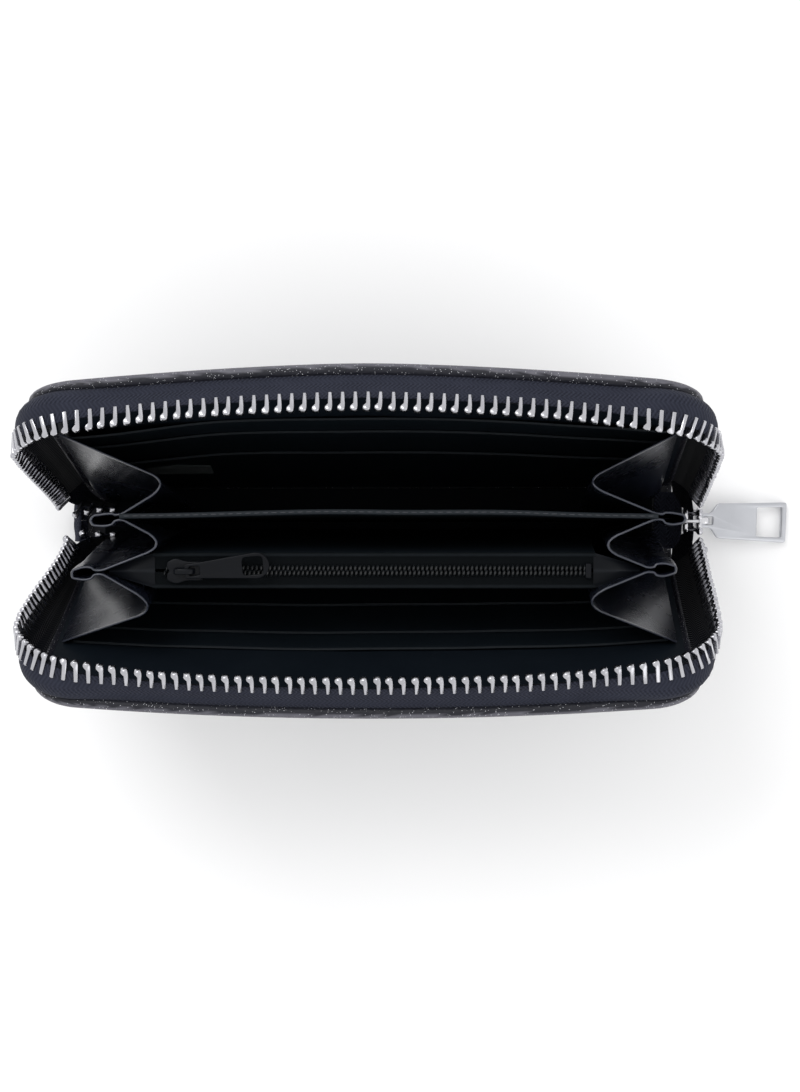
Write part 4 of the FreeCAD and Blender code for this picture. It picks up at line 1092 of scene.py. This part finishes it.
def makeTeeth():
    pattern = toothMesh()
    for side, name in sideNames.items():
        step = tooth["guideStep"]
        first = tooth["start"] - rimLength + (0 if side > 0 else tooth["pitch"] / 2)
        places = [first + index * step for index in range(int((rimLength - first) / step) + 1)]
        guide = toothGuide(lambda along, t: tapeFrame(side, along, t), places, 0.5, side)
        row = piecesAlong(name + "_zip_tooth_row", guide, pattern, tooth["pitch"],
                          materials["toothMetal"], 0.03, 4 + side)
        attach(row, coverBody[side])
        flattenShut(row, side)
        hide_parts(name + "_zip_teeth")
        for end, endName in endNames.items():
            guide = toothGuide(lambda along, t: runFrame(side, end, t, along),
                               evenSteps(tooth["runStart"], 1.0, 24), 0.02, side * end)
            run = piecesAlong("%s_%s_tooth_run" % (name, endName), guide, pattern, tooth["pitch"],
                              materials["toothMetal"], 0.04, 9 + side)
            blendDown(run, side, end)
    print("zip teeth made")


# gussets

gussetShape = {"thickness": 0.7, "top": 79.0, "seam": 62.0, "footShare": 0.26, "footEdge": 9.2,
               "rows": 12, "facet": 3.0, "billow": 1.6, "clear": 0.8,
               "rimLevels": ((0.0, 0.0, 0.0), (0.05, 0.0, 0.45), (0.16, 0.0, 0.8),
                             (0.38, 0.0, 1.0), (1.0, 0.0, 1.0))}
# the run of each gusset's upper edge from the back cover to the front cover: x, y and
# the radius of the fold there; the two seams on the covers lie lower than the folds
gussetRuns = {
    "left": {"back": [(-88.4, 27.2, 0), (-57.2, 13.4, 6.0), (-68.2, 5.0, 3.0), (-72.4, 5.0, 6.0),
                      (-76.0, 4.4, 6.0), (-76.9, 3.1, 0)],
             "front": [(-76.9, 3.1, 0), (-76.0, 1.9, 6.0), (-72.4, 1.7, 6.0), (-68.2, 3.3, 3.0),
                       (-58.4, -3.4, 6.0), (-74.2, -10.8, 3.0), (-78.4, -9.9, 6.0),
                       (-82.0, -11.0, 6.0), (-82.0, -12.8, 6.0), (-78.4, -13.4, 6.0),
                       (-74.2, -11.9, 3.0), (-61.0, -21.0, 8.0), (-88.4, -32.6, 0)]},
    "right": {"back": [(88.0, 27.2, 0), (63.0, 13.6, 6.0), (80.6, 5.0, 3.0), (84.6, 5.2, 6.0),
                       (88.0, 4.5, 6.0), (88.6, 3.5, 0)],
              "front": [(88.6, 3.5, 0), (88.0, 2.5, 6.0), (84.6, 2.0, 6.0), (80.6, 3.4, 3.0),
                        (67.2, -3.8, 6.0), (78.4, -10.0, 3.0), (82.2, -8.9, 6.0), (85.8, -9.8, 6.0),
                        (85.8, -11.4, 6.0), (82.2, -12.4, 6.0), (78.4, -11.3, 3.0),
                        (62.8, -19.4, 9.0), (88.0, -32.6, 0)]},
}


def roundedRun(points, steps=6):
    # open line through folds of their own radius, in short pieces; the middle of each
    # fold lies on its given point
    line = [points[0][0]]
    for (before, _), (here, radius), (after, _) in zip(points, points[1:], points[2:]):
        back, on = before - here, after - here
        reach = min(radius, back.length * 0.45, on.length * 0.45)
        back.normalize()
        on.normalize()
        corner = here - (back + on) * reach / 4
        start, finish = corner + back * reach, corner + on * reach
        for step in range(steps + 1):
            t = step / steps
            line.append(start * (1 - t) ** 2 + corner * 2 * t * (1 - t) + finish * t * t)
    line.append(points[-1][0])
    fine = [line[0]]
    for a, b in zip(line, line[1:]):
        parts = max(1, int((b - a).length / gussetShape["facet"]))
        fine += [a.lerp(b, (i + 1) / parts) for i in range(parts)]
    return fine


def foldedSheet(name, topRun, footRun, foot, material, billow, seed):
    # sheet between an upper and a lower line, with a rounded upper edge
    count, rows = len(topRun), gussetShape["rows"]
    half = gussetShape["thickness"] / 2
    # each level: distance below the upper line, share of the way down, share of the thickness
    levels = list(gussetShape["rimLevels"]) + [(1.0, (i + 1) / rows, 1.0) for i in range(rows)]
    lines = []
    for below, part, _ in levels:
        line = []
        for high, low in zip(topRun, footRun):
            z = lerp(high.z - below, foot, part)
            up = (z - foot) / (high.z - foot)
            place = low.lerp(high, up)
            line.append((Vector((place.x, place.y, z)), up))
        lines.append((line, directions([point for point, _ in line])))

    def cell(index, i):
        line, runs = lines[index]
        below, part, share = levels[index]
        (point, up), run = line[i], runs[i]
        normal = Vector((-run.y, run.x, 0))
        calm = math.sin(math.pi * up) * smoothStep(0, 4, i) * smoothStep(0, 4, count - 1 - i)
        shift = softNoise(point, 22, seed) * billow * calm
        # the edge mark paints a highlight along the folded upper edge
        return (point + normal * (half * share + shift), point + normal * (shift - half * share),
                (i * mm, point.z * mm), 1 - smoothStep(0.08, 0.5, below + part * 9))

    return gridShell(name, range(len(levels)), range(count), cell, material, 55)


def coverPlane(side):
    # a point on the cover's inner plane, and the plane's inward direction
    return coverPoint(side, wallet["half"], 60.0, 4.2), coverVector(side, 0, 0, 1)


def makeGussets():
    top, foot = gussetShape["top"], wallet["floor"]
    for endName, halves in gussetRuns.items():
        for side, name in sideNames.items():
            seam = 0 if side > 0 else len(halves[name]) - 1
            heights = [gussetShape["seam"] if index == seam else top
                       for index in range(len(halves[name]))]
            topRun = roundedRun([(Vector((x, y, z)), radius)
                                 for (x, y, radius), z in zip(halves[name], heights)])
            shift = gussetShape["clear"] if side < 0 else 0.0   # clear of the divider's foot
            footRun = [Vector((p.x, p.y * gussetShape["footShare"] - shift, foot)) for p in topRun]
            footRun[0 if side > 0 else -1].y = side * gussetShape["footEdge"]
            piece = foldedSheet("%s_gusset_%s_leather" % (endName, name), topRun, footRun, foot,
                                materials["gussetLeather"], gussetShape["billow"],
                                3 + side + (endName == "left"))
            onPlane, inward = coverPlane(side)
            depth = (Vector((0, 4.2, top)) - onPlane).dot(inward)
            finish = Vector((0, onPlane.y, onPlane.z))
            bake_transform(piece, "spine", coverBody[side], (finish + inward * depth) * mm, finish * mm)
            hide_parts("%s_gusset_%s" % (endName, name))
    print("gussets made")


# middle divider

dividerShape = {"left": -68.6, "right": 81.0, "foot": 4.2, "height": 76.0, "thickness": 1.1,
                "lean": math.radians(4.3), "fold": 0.16, "sway": 1.2, "wave": 0.7, "forward": 1.4,
                "rows": (0.0, 0.2, 0.4, 0.55, 0.7, 0.8, 0.88, 0.94, 0.965, 0.98, 0.99, 0.996,
                         0.999, 1.0)}
stitchShape = {"pitch": 2.4, "length": 1.7, "radius": 0.16, "sides": 6, "rings": 5}


def stitchMesh():
    # a short thread bowed over the leather, its ends dipping in
    shell = bmesh.new()
    thick = stitchShape["radius"]
    loops = []
    for t in evenSteps(0, 1, stitchShape["rings"] - 1):
        arch = math.sin(math.pi * t)
        x = (t - 0.5) * stitchShape["length"]
        lift = arch * thick * 1.3 - thick * 0.6
        radius = thick * (0.55 + 0.45 * arch)
        turns = evenSteps(0, 2 * math.pi, stitchShape["sides"])[:-1]
        loops.append([shell.verts.new((x, radius * math.cos(turn), lift + radius * math.sin(turn)))
                      for turn in turns])
    joinLoops(shell, loops)
    shell.faces.new(loops[0][::-1])
    shell.faces.new(loops[-1])
    return meshInMetres("stitch_pattern", shell)


def dividerMiddle(x, up):
    # centre of the divider at x, up from 0 at its foot to 1 at its top
    height, lean = dividerShape["height"], dividerShape["lean"]
    z = dividerShape["foot"] + height * math.cos(lean) * up
    middle = (dividerShape["left"] + dividerShape["right"]) / 2
    half = (dividerShape["right"] - dividerShape["left"]) / 2
    sway = (1 - ((x - middle) / half) ** 2) * dividerShape["sway"]
    sway += softNoise((x, 0, z), 40, 6) * dividerShape["wave"]
    return Vector((x, (height * math.sin(lean) - dividerShape["forward"] + sway) * up, z))


def makeDivider():
    xs = spreadOut(dividerShape["left"], dividerShape["right"], 60, [0.0, 0.2, 0.6, 1.2])
    half, height = dividerShape["thickness"] / 2, dividerShape["height"]

    def cell(up, x):
        place = dividerMiddle(x, up)
        fromTop = (1 - up) * height
        fold = dividerShape["fold"] * (1 - smoothStep(2.6, 3.4, fromTop))
        reach = Vector((0, (half + fold) * roundedShare(fromTop, half), 0))
        # the edge mark paints a highlight along the rolled top
        return (place - reach, place + reach, (x * mm, up * height * mm),
                1 - smoothStep(0.3, 1.0, fromTop))

    sheet = gridShell("divider_leather", dividerShape["rows"], xs, cell, materials["cardLeather"])
    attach(sheet, "spine")
    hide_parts("middle_divider")
    guide = [(dividerMiddle(x, 1.0) + Vector((0, 0, -0.02)), Vector((0, 0, 1)))
             for x in evenSteps(dividerShape["left"] + 2, dividerShape["right"] - 2, 80)]
    seam = piecesAlong("divider_top_stitches", guide, stitchMesh(), stitchShape["pitch"],
                       materials["stitchThread"], 0.05, 3)
    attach(seam, "spine")
    print("divider made")


# coin pocket

coinPocket = {
    "left": -60.0, "right": 64.0, "top": 75.0, "back": -6.2, "front": -16.0,
    "backFoot": -3.2, "frontFoot": -6.2, "foot": 4.8, "wall": 0.9, "wave": 1.1, "swell": 0.7,
    "rows": (0.0, 0.12, 0.25, 0.4, 0.55, 0.7, 0.82, 0.9, 0.95, 0.975, 0.985, 0.993, 1.0),
}
coilShape = {"pitch": 1.25, "left": -56.5, "right": 61.0, "width": 1.55, "height": 0.95,
             "lift": 0.42, "skew": 0.12, "threadHeight": 0.27, "threadWidth": 0.29, "rings": 10,
             "sides": 5}
endTab = {"length": 12.8, "tip": 2.4, "ridge": 1.5, "crown": 0.25, "sag": 1.2, "rimDrop": 0.2,
          "thickness": 0.9}
endStop = {"half": (0.8, 2.1), "round": 0.4, "thickness": 1.3, "bevel": 0.25, "gap": 1.0,
           "lift": 0.7}
pocketMiddle = (coinPocket["back"] + coinPocket["front"]) / 2
pocketHalf = (coinPocket["back"] - coinPocket["front"]) / 2
# the coin tape's cloth dips between the welt at its sewn edge and the coil: y and height
coinTapeProfile = [(pocketHalf + 0.1, 0.3), (pocketHalf - 0.2, 0.62), (pocketHalf - 0.7, 0.66),
                   (pocketHalf - 1.1, 0.34), (pocketHalf - 1.6, 0.24), (1.6, 0.2), (1.0, 0.24),
                   (0.45, 0.2)]


def pocketWall(name, topY, footY, outward):
    # a soft wall, slightly swollen, with a rolled upper edge
    xs = spreadOut(coinPocket["left"], coinPocket["right"], 34, [0.0, 0.3, 0.9, 2.0])
    half, top = coinPocket["wall"] / 2, coinPocket["top"] - 0.1

    def cell(up, x):
        z = lerp(coinPocket["foot"], top, up)
        swell = softNoise((x, topY, z), 34, 8) * coinPocket["wave"] + coinPocket["swell"]
        y = lerp(footY, topY, up) + outward * swell * math.sin(math.pi * up)
        reach = half * roundedShare(top - z, half)
        # the edge mark paints a highlight along the rolled upper edge
        return (Vector((x, y - reach, z)), Vector((x, y + reach, z)), (x * mm, z * mm),
                1 - smoothStep(0.3, 0.9, top - z))

    return gridShell(name, coinPocket["rows"], xs, cell, materials["cardLeather"])


def coilMesh():
    # one turn of nylon coil: a flattened ring, a little skewed
    shell = bmesh.new()
    rings, sides = coilShape["rings"], coilShape["sides"]
    loops = []
    for ring in range(rings):
        angle = 2 * math.pi * ring / rings
        outward = Vector((0, math.cos(angle), math.sin(angle)))
        centre = Vector((coilShape["skew"] * outward.y, coilShape["width"] / 2 * outward.y,
                         coilShape["height"] / 2 * outward.z))
        turns = [2 * math.pi * k / sides for k in range(sides)]
        loops.append([shell.verts.new(centre + outward * coilShape["threadHeight"] * math.cos(turn)
                                      + Vector((coilShape["threadWidth"] * math.sin(turn), 0, 0)))
                      for turn in turns])
    joinLoops(shell, loops + loops[:1])
    return meshInMetres("coil_pattern", shell)


def makeCoinZip():
    top = coinPocket["top"]
    xs = spreadOut(coinPocket["left"], coinPocket["right"], 50, [0.0, 0.15, 0.5, 1.2])
    for side, name in sideNames.items():
        def cell(part, x):
            y, lift = part
            lift += softNoise((x, y * side, 0), 18, 9) * 0.12
            # the raised welt rows carry the edge mark, a painted highlight
            return (Vector((x, pocketMiddle + side * y, top - 0.25 + lift)),
                    Vector((x, pocketMiddle + side * y, top - 0.55)), (x * mm, y * mm),
                    1.0 if part[1] > 0.6 else 0.0)

        tape = gridShell("coin_tape_cloth_" + name, coinTapeProfile, xs, cell,
                         materials["coinTapeCloth"])
        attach(tape, "coin_pocket")
        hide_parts("coin_zip_tape_" + name)
        shift = coilShape["pitch"] / 2 if side > 0 else 0.0
        y, z = pocketMiddle + side * (coilShape["width"] / 2 - 0.1), top + coilShape["lift"]
        guide = [(Vector((x, y, z)), Vector((0, 0, 1)))
                 for x in (coilShape["left"] + shift, coilShape["right"])]
        coil = piecesAlong("coin_coil_turns_" + name, guide, coilMesh(), coilShape["pitch"],
                           materials["coilNylon"], 0.02, 6)
        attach(coil, "coin_pocket")
        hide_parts("coin_zip_coil_" + name)


def makeEndTab(end, endName):
    # a tab that narrows to a ridged tip
    start = coinPocket[endName] - end * 0.6

    def cell(t, a):
        ridge = endTab["ridge"] * t * (1 - abs(a)) ** 1.3 + endTab["crown"] * (1 - a * a)
        rim = 0.0 if abs(a) < 0.99 else endTab["rimDrop"]
        z = coinPocket["top"] + 0.1 + ridge - rim - endTab["sag"] * t * (1 - t)
        x = start + end * endTab["length"] * t
        y = pocketMiddle + a * lerp(pocketHalf + 0.1, endTab["tip"] / 2, t)
        # the ridge line and both rims carry the edge mark, a painted highlight
        return (Vector((x, y, z)), Vector((x, y, z - endTab["thickness"] + rim * 1.5)),
                (x * mm, y * mm), 0.7 if abs(a) < 0.01 or abs(a) > 0.99 else 0.0)

    tab = gridShell("coin_end_tab_leather_" + endName, evenSteps(0, 1, 12), evenSteps(-1, 1, 12),
                    cell, materials["tabLeather"])
    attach(tab, "coin_pocket")
    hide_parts("coin_zip_end_tab_" + endName)


def makeCoinPocket():
    for side, name in sideNames.items():
        wall = pocketWall("coin_%s_wall_leather" % name, coinPocket[name] - side * 0.4,
                          coinPocket[name + "Foot"], side)
        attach(wall, "coin_pocket")
        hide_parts("coin_pocket_%s_wall" % name)
    makeCoinZip()
    for end, endName in endNames.items():
        makeEndTab(end, endName)
    place = placeMatrix((coilShape["right"] + endStop["gap"], pocketMiddle,
                         coinPocket["top"] + endStop["lift"]), (1, 0, 0), (0, 0, 1))
    stop = clipPiece("coin_end_stop_clip", endStop, place, materials["blackMetal"])
    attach(stop, "coin_pocket")
    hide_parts("coin_zip_end_stop")
    print("coin pocket made")


# sliders and pulls

mainPull = {"length": 27.0, "neck": 4.4, "shoulder": 10.8, "end": 12.6, "thickness": 1.5,
            "bevel": 0.32, "neckLength": 2.4, "shoulderLength": 2.3, "windowStart": 17.4,
            "windowLength": 8.0, "rim": 1.5, "swing": math.radians(-2.0)}
coinPull = {"length": 23.0, "neck": 4.2, "end": 7.4, "thickness": 1.0, "bevel": 0.28,
            "windowStart": 15.4, "windowLength": 5.8, "windowWidth": 5.0}
# what both sliders share
sliderDetail = {"notch": 0.9, "notchHalf": 0.7, "noseShare": 0.7, "round": 1.1, "bevel": 0.3,
                "wedgeLength": 2.1, "wedgeInset": 0.5, "flangeLength": 4.8, "flangeInset": 0.2,
                "flangeWidth": 0.7, "flangeHeight": 0.9}
closedEndClip = {"half": (2.4, 0.6), "round": 0.4, "thickness": 2.2, "bevel": 0.25}
sliderShape = {"length": 10.4, "width": 9.0, "tail": 6.8, "plate": 1.2, "gap": 3.0,
               "strap": {"span": 5.0, "clear": 2.1, "width": 1.9, "thick": 0.9, "square": 0.55}}
coinSliderShape = {"length": 10.0, "width": 7.4, "tail": 5.4, "plate": 1.0, "gap": 2.0,
                   "strap": {"span": 6.0, "clear": 2.1, "width": 1.6, "thick": 0.8, "square": 0.55}}


def sliderPlates(name, shape, middle, xAxis, zAxis, material):
    # two shield-shaped plates, the wedge between them and the side flanges
    half = shape["length"] / 2
    wide, tail = shape["width"] / 2, shape["tail"] / 2
    detail = sliderDetail
    upper = [(half - detail["notch"], 0), (half, detail["notchHalf"]),
             (half, wide * detail["noseShare"]), (half * 0.5, wide), (-0.5, tail), (-half, tail)]
    outline = roundedOutline([(x, -y) for x, y in upper[:0:-1]] + upper, detail["round"], 4)
    z = Vector(zAxis).normalized()

    def placed(offset):
        return placeMatrix(Vector(middle) + z * offset, xAxis, zAxis)

    plates = []
    for sign in (1, -1):
        plates.append(platePiece("%s_plate_%d" % (name, sign + 1), [outline], shape["plate"],
                                 detail["bevel"],
                                 placed(sign * (shape["gap"] + shape["plate"]) / 2), material))
    wedgeEnd = half - detail["wedgeInset"]
    wedgeStart = wedgeEnd - detail["wedgeLength"]
    wedge = roundedOutline([(wedgeStart, -0.35), (wedgeEnd, -0.6), (wedgeEnd, 0.6),
                            (wedgeStart, 0.35)], 0.3, 3)
    plates.append(platePiece(name + "_wedge", [wedge], shape["gap"] + 0.6, 0.1, placed(0),
                             material))
    back, low = detail["flangeInset"] - half, tail - detail["flangeWidth"]
    front = back + detail["flangeLength"]
    for sign in (1, -1):
        for edge in (1, -1):
            flange = roundedOutline([(back, edge * low), (back, edge * tail), (front, edge * tail),
                                     (front, edge * low)], 0.25, 2)
            plates.append(platePiece("%s_flange_%d_%d" % (name, sign + 1, edge + 1), [flange],
                                     detail["flangeHeight"], 0.12,
                                     placed(sign * (shape["gap"] / 2 - 0.3)), material))
    return joinPieces(name, plates)


def bridgeStrap(name, middle, xAxis, zAxis, shape, material):
    # an arched strap standing on a plate
    x, z = Vector(xAxis).normalized(), Vector(zAxis).normalized()
    y = z.cross(x)
    thick, width = shape["thick"], shape["width"]
    half = (shape["span"] - thick) / 2
    path = []
    for angle in evenSteps(0, math.pi, 18):
        across = math.copysign(abs(math.cos(angle)) ** shape["square"], math.cos(angle)) * half
        up = max(math.sin(angle), 0.0) ** shape["square"] * (shape["clear"] + thick / 2)
        path.append(Vector(middle) - x * across + z * up)
    frames = [(point, y, forward.cross(y).normalized())
              for point, forward in zip(path, directions(path))]
    section = oblong(-width / 2, -thick / 2, width / 2, thick / 2, 0.32, 3)
    return sweptTube(name, frames, section, material)


def makeSlider(prefix, shape, xAxis, zAxis, material):
    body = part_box(prefix + "_slider_body")
    plates = sliderPlates(prefix + "_slider_plates", shape, (body[0] + body[1]) / 2 / mm,
                          xAxis, zAxis, material)
    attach(plates, prefix + "_slider")
    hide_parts(prefix + "_slider_body")
    low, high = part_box(prefix + "_slider_bridge")
    z = Vector(zAxis)
    foot = (low + high) / 2 / mm - z * abs((high - low).dot(z)) / 2 / mm
    strap = bridgeStrap(prefix + "_slider_strap", foot, xAxis, zAxis, shape["strap"], material)
    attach(strap, prefix + "_slider")
    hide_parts(prefix + "_slider_bridge")


def makeMainSlider():
    makeSlider("main", sliderShape, (0, 0, 1), (1, 0, 0), materials["brightMetal"])
    pivot = Vector(joints["main_pull_hinge"]["pos_m"]) / mm
    slope = math.asin((pivot.z - mainPull["thickness"] / 2 - 0.1) / mainPull["length"])
    axis = Matrix.Rotation(mainPull["swing"], 3, "Z") @ Vector(joints["main_pull_hinge"]["axis"])
    level = Vector((-axis.y, axis.x, 0)).normalized()
    direction = level * math.cos(slope) - Vector((0, 0, math.sin(slope)))
    face = level * math.sin(slope) + Vector((0, 0, math.cos(slope)))
    neck, shoulder, end = mainPull["neck"] / 2, mainPull["shoulder"] / 2, mainPull["end"] / 2
    neckLength, length = mainPull["neckLength"], mainPull["length"]
    shoulderStart = neckLength + mainPull["shoulderLength"]
    upper = [(length, end), (shoulderStart, shoulder), (neckLength, neck), (-0.9, neck)]
    outline = roundedOutline([(x, -y) for x, y in upper[::-1]] + upper, 0.9)
    eye = oblong(0.5, -1.25, 3.2, 1.25, 0.5)
    start = mainPull["windowStart"]
    finish = start + mainPull["windowLength"]
    reach = end - mainPull["rim"]
    window = roundedOutline([(start, -reach + 0.25), (finish, -reach), (finish, reach),
                             (start, reach - 0.25)], 0.5)
    plate = platePiece("main_pull_plate", [outline, eye, window], mainPull["thickness"],
                       mainPull["bevel"], placeMatrix(pivot, direction, face),
                       materials["pullMetal"], 30, 3)
    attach(plate, "main_pull")
    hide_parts("main_pull_tab")
    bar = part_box("main_zip_bottom_stop")
    clip = clipPiece("closed_end_clip", closedEndClip,
                     placeMatrix((bar[0] + bar[1]) / 2 / mm, (0, 1, 0), (1, 0, 0)),
                     materials["brightMetal"])
    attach(clip, "spine")
    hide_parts("main_zip_bottom_stop")
    low, high = (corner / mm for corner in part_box("zip_closed_end_tape"))
    half = (high.y - low.y) / 2
    x = (low.x + high.x) / 2

    def cell(z, y):
        return Vector((x - 0.3, y, z)), Vector((x + 0.3, y, z)), (z * mm, y * mm), 0.0

    tape = gridShell("closed_end_tape_cloth", evenSteps(low.z, high.z, 10),
                     evenSteps(-half, half, 8), cell, materials["zipTapeCloth"])
    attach(tape, "spine")
    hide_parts("zip_closed_end_tape")
    print("main slider made")


def makeCoinSlider():
    makeSlider("coin", coinSliderShape, (-1, 0, 0), (0, 0, 1), materials["blackMetal"])
    pivot = Vector(joints["coin_pull_hinge"]["pos_m"]) / mm
    axis = Vector(joints["coin_pull_hinge"]["axis"])
    direction = Vector((-axis.y, axis.x, 0)).normalized()
    neck, end, length = coinPull["neck"] / 2, coinPull["end"] / 2, coinPull["length"]
    tip = [(length - end + end * math.cos(a), end * math.sin(a))
           for a in evenSteps(-math.pi / 2, math.pi / 2, 12)]
    outline = [(-0.8, neck - 0.5), (-0.8, -neck + 0.5), (-0.3, -neck), (3.8, -neck - 0.2)] + tip
    outline += [(3.8, neck + 0.2), (-0.3, neck)]
    eye = oblong(0.5, -1.3, 3.4, 1.3, 0.6)
    start, reach = coinPull["windowStart"], coinPull["windowWidth"] / 2
    window = oblong(start, -reach, start + coinPull["windowLength"], reach, 1.2)
    plate = platePiece("coin_pull_plate", [outline, eye, window], coinPull["thickness"],
                       coinPull["bevel"], placeMatrix(pivot, direction, (0, 0, 1)),
                       materials["blackMetal"], 30, 3)
    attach(plate, "coin_pull")
    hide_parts("coin_pull_tab")
    print("coin slider made")


# blank label

label = {"left": -69.0, "right": -49.0, "low": 21.5, "high": 31.0, "depth": 4.9,
         "thickness": 0.5, "curl": 0.5}


def makeLabel():
    left, right, low, high = (label[key] for key in ("left", "right", "low", "high"))

    def labelPoint(u, v, lift):
        edge = min(u - left, right - u, v - low, high - v)
        curl = smoothStep(0.2, 1.0, (u - left) / (right - left)) * smoothStep(26, 31, v)
        w = label["depth"] + lift * smoothStep(-0.4, 0.6, edge) + label["curl"] * curl
        return coverPoint(1, u, v, w)

    def cell(v, u):
        return labelPoint(u, v, label["thickness"]), labelPoint(u, v, 0.0), (u * mm, v * mm), 0.0

    patch = gridShell("blank_label_cloth", evenSteps(low, high, 8), evenSteps(left, right, 20),
                      cell, materials["labelCloth"])
    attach(patch, coverBody[1])
    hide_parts("blank_label")


makeCovers()
makeSpine()
makeTapes()
makeTeeth()
makeGussets()
makeDivider()
makeCoinPocket()
makeMainSlider()
makeCoinSlider()
makeLabel()


# floor, light and camera

studio = {"floorHalf": 1.6, "floorDrop": 0.0004, "key": 3.5, "fill": 1.5, "world": 1.0,
          "paper": ((0.93, 0.93, 0.935), (0.97, 0.97, 0.975))}
camera = {"place": (28.85, 27.71, 666.0), "turn": (-0.0540, 0.0327, -0.0022), "lens": 69.8}


def makeFloor():
    half, drop = studio["floorHalf"], studio["floorDrop"]
    mesh = bpy.data.meshes.new("studio_floor")
    corners = [(-half, -half), (half, -half), (half, half), (-half, half)]
    mesh.from_pydata([(x, y, -drop) for x, y in corners], [], [(0, 1, 2, 3)])
    material, tree, shader = newMaterial("floorPaper")
    tint = noiseNode(tree, tree.nodes.new("ShaderNodeTexCoord").outputs["Object"], 9.0, 2.0)
    feed(tree, shader, {"Base Color": mixColours(tree, tint, *studio["paper"]), "Roughness": 0.9})
    addToScene("studio_floor", mesh, material)


def addLight(name, place, target, size, power):
    light = bpy.data.lights.new(name, "AREA")
    light.size = size
    light.energy = power
    holder = bpy.data.objects.new(name, light)
    bpy.context.scene.collection.objects.link(holder)
    holder.location = place
    holder.rotation_euler = (Vector(target) - Vector(place)).to_track_quat("-Z", "Y").to_euler()


def makeStudio():
    makeFloor()
    addLight("key_light", (-0.35, 0.55, 0.85), (0, 0, 0.04), 0.5, studio["key"])
    addLight("fill_light", (0.7, -0.5, 0.6), (0, 0, 0.04), 0.7, studio["fill"])
    world = bpy.data.worlds.new("studio_world")
    world.use_nodes = True
    feed(world.node_tree, world.node_tree.nodes["Background"],
         {"Color": (1, 1, 1, 1), "Strength": studio["world"]})
    bpy.context.scene.world = world
    bpy.context.scene.view_settings.view_transform = "Standard"
    view = bpy.data.cameras.new("main_view")
    view.lens = camera["lens"]
    view.clip_start = 0.01
    holder = bpy.data.objects.new("main_view", view)
    holder.location = Vector(camera["place"]) * mm
    holder.rotation_euler = camera["turn"]
    bpy.context.scene.collection.objects.link(holder)
    bpy.context.scene.camera = holder


makeStudio()
print("studio ready")
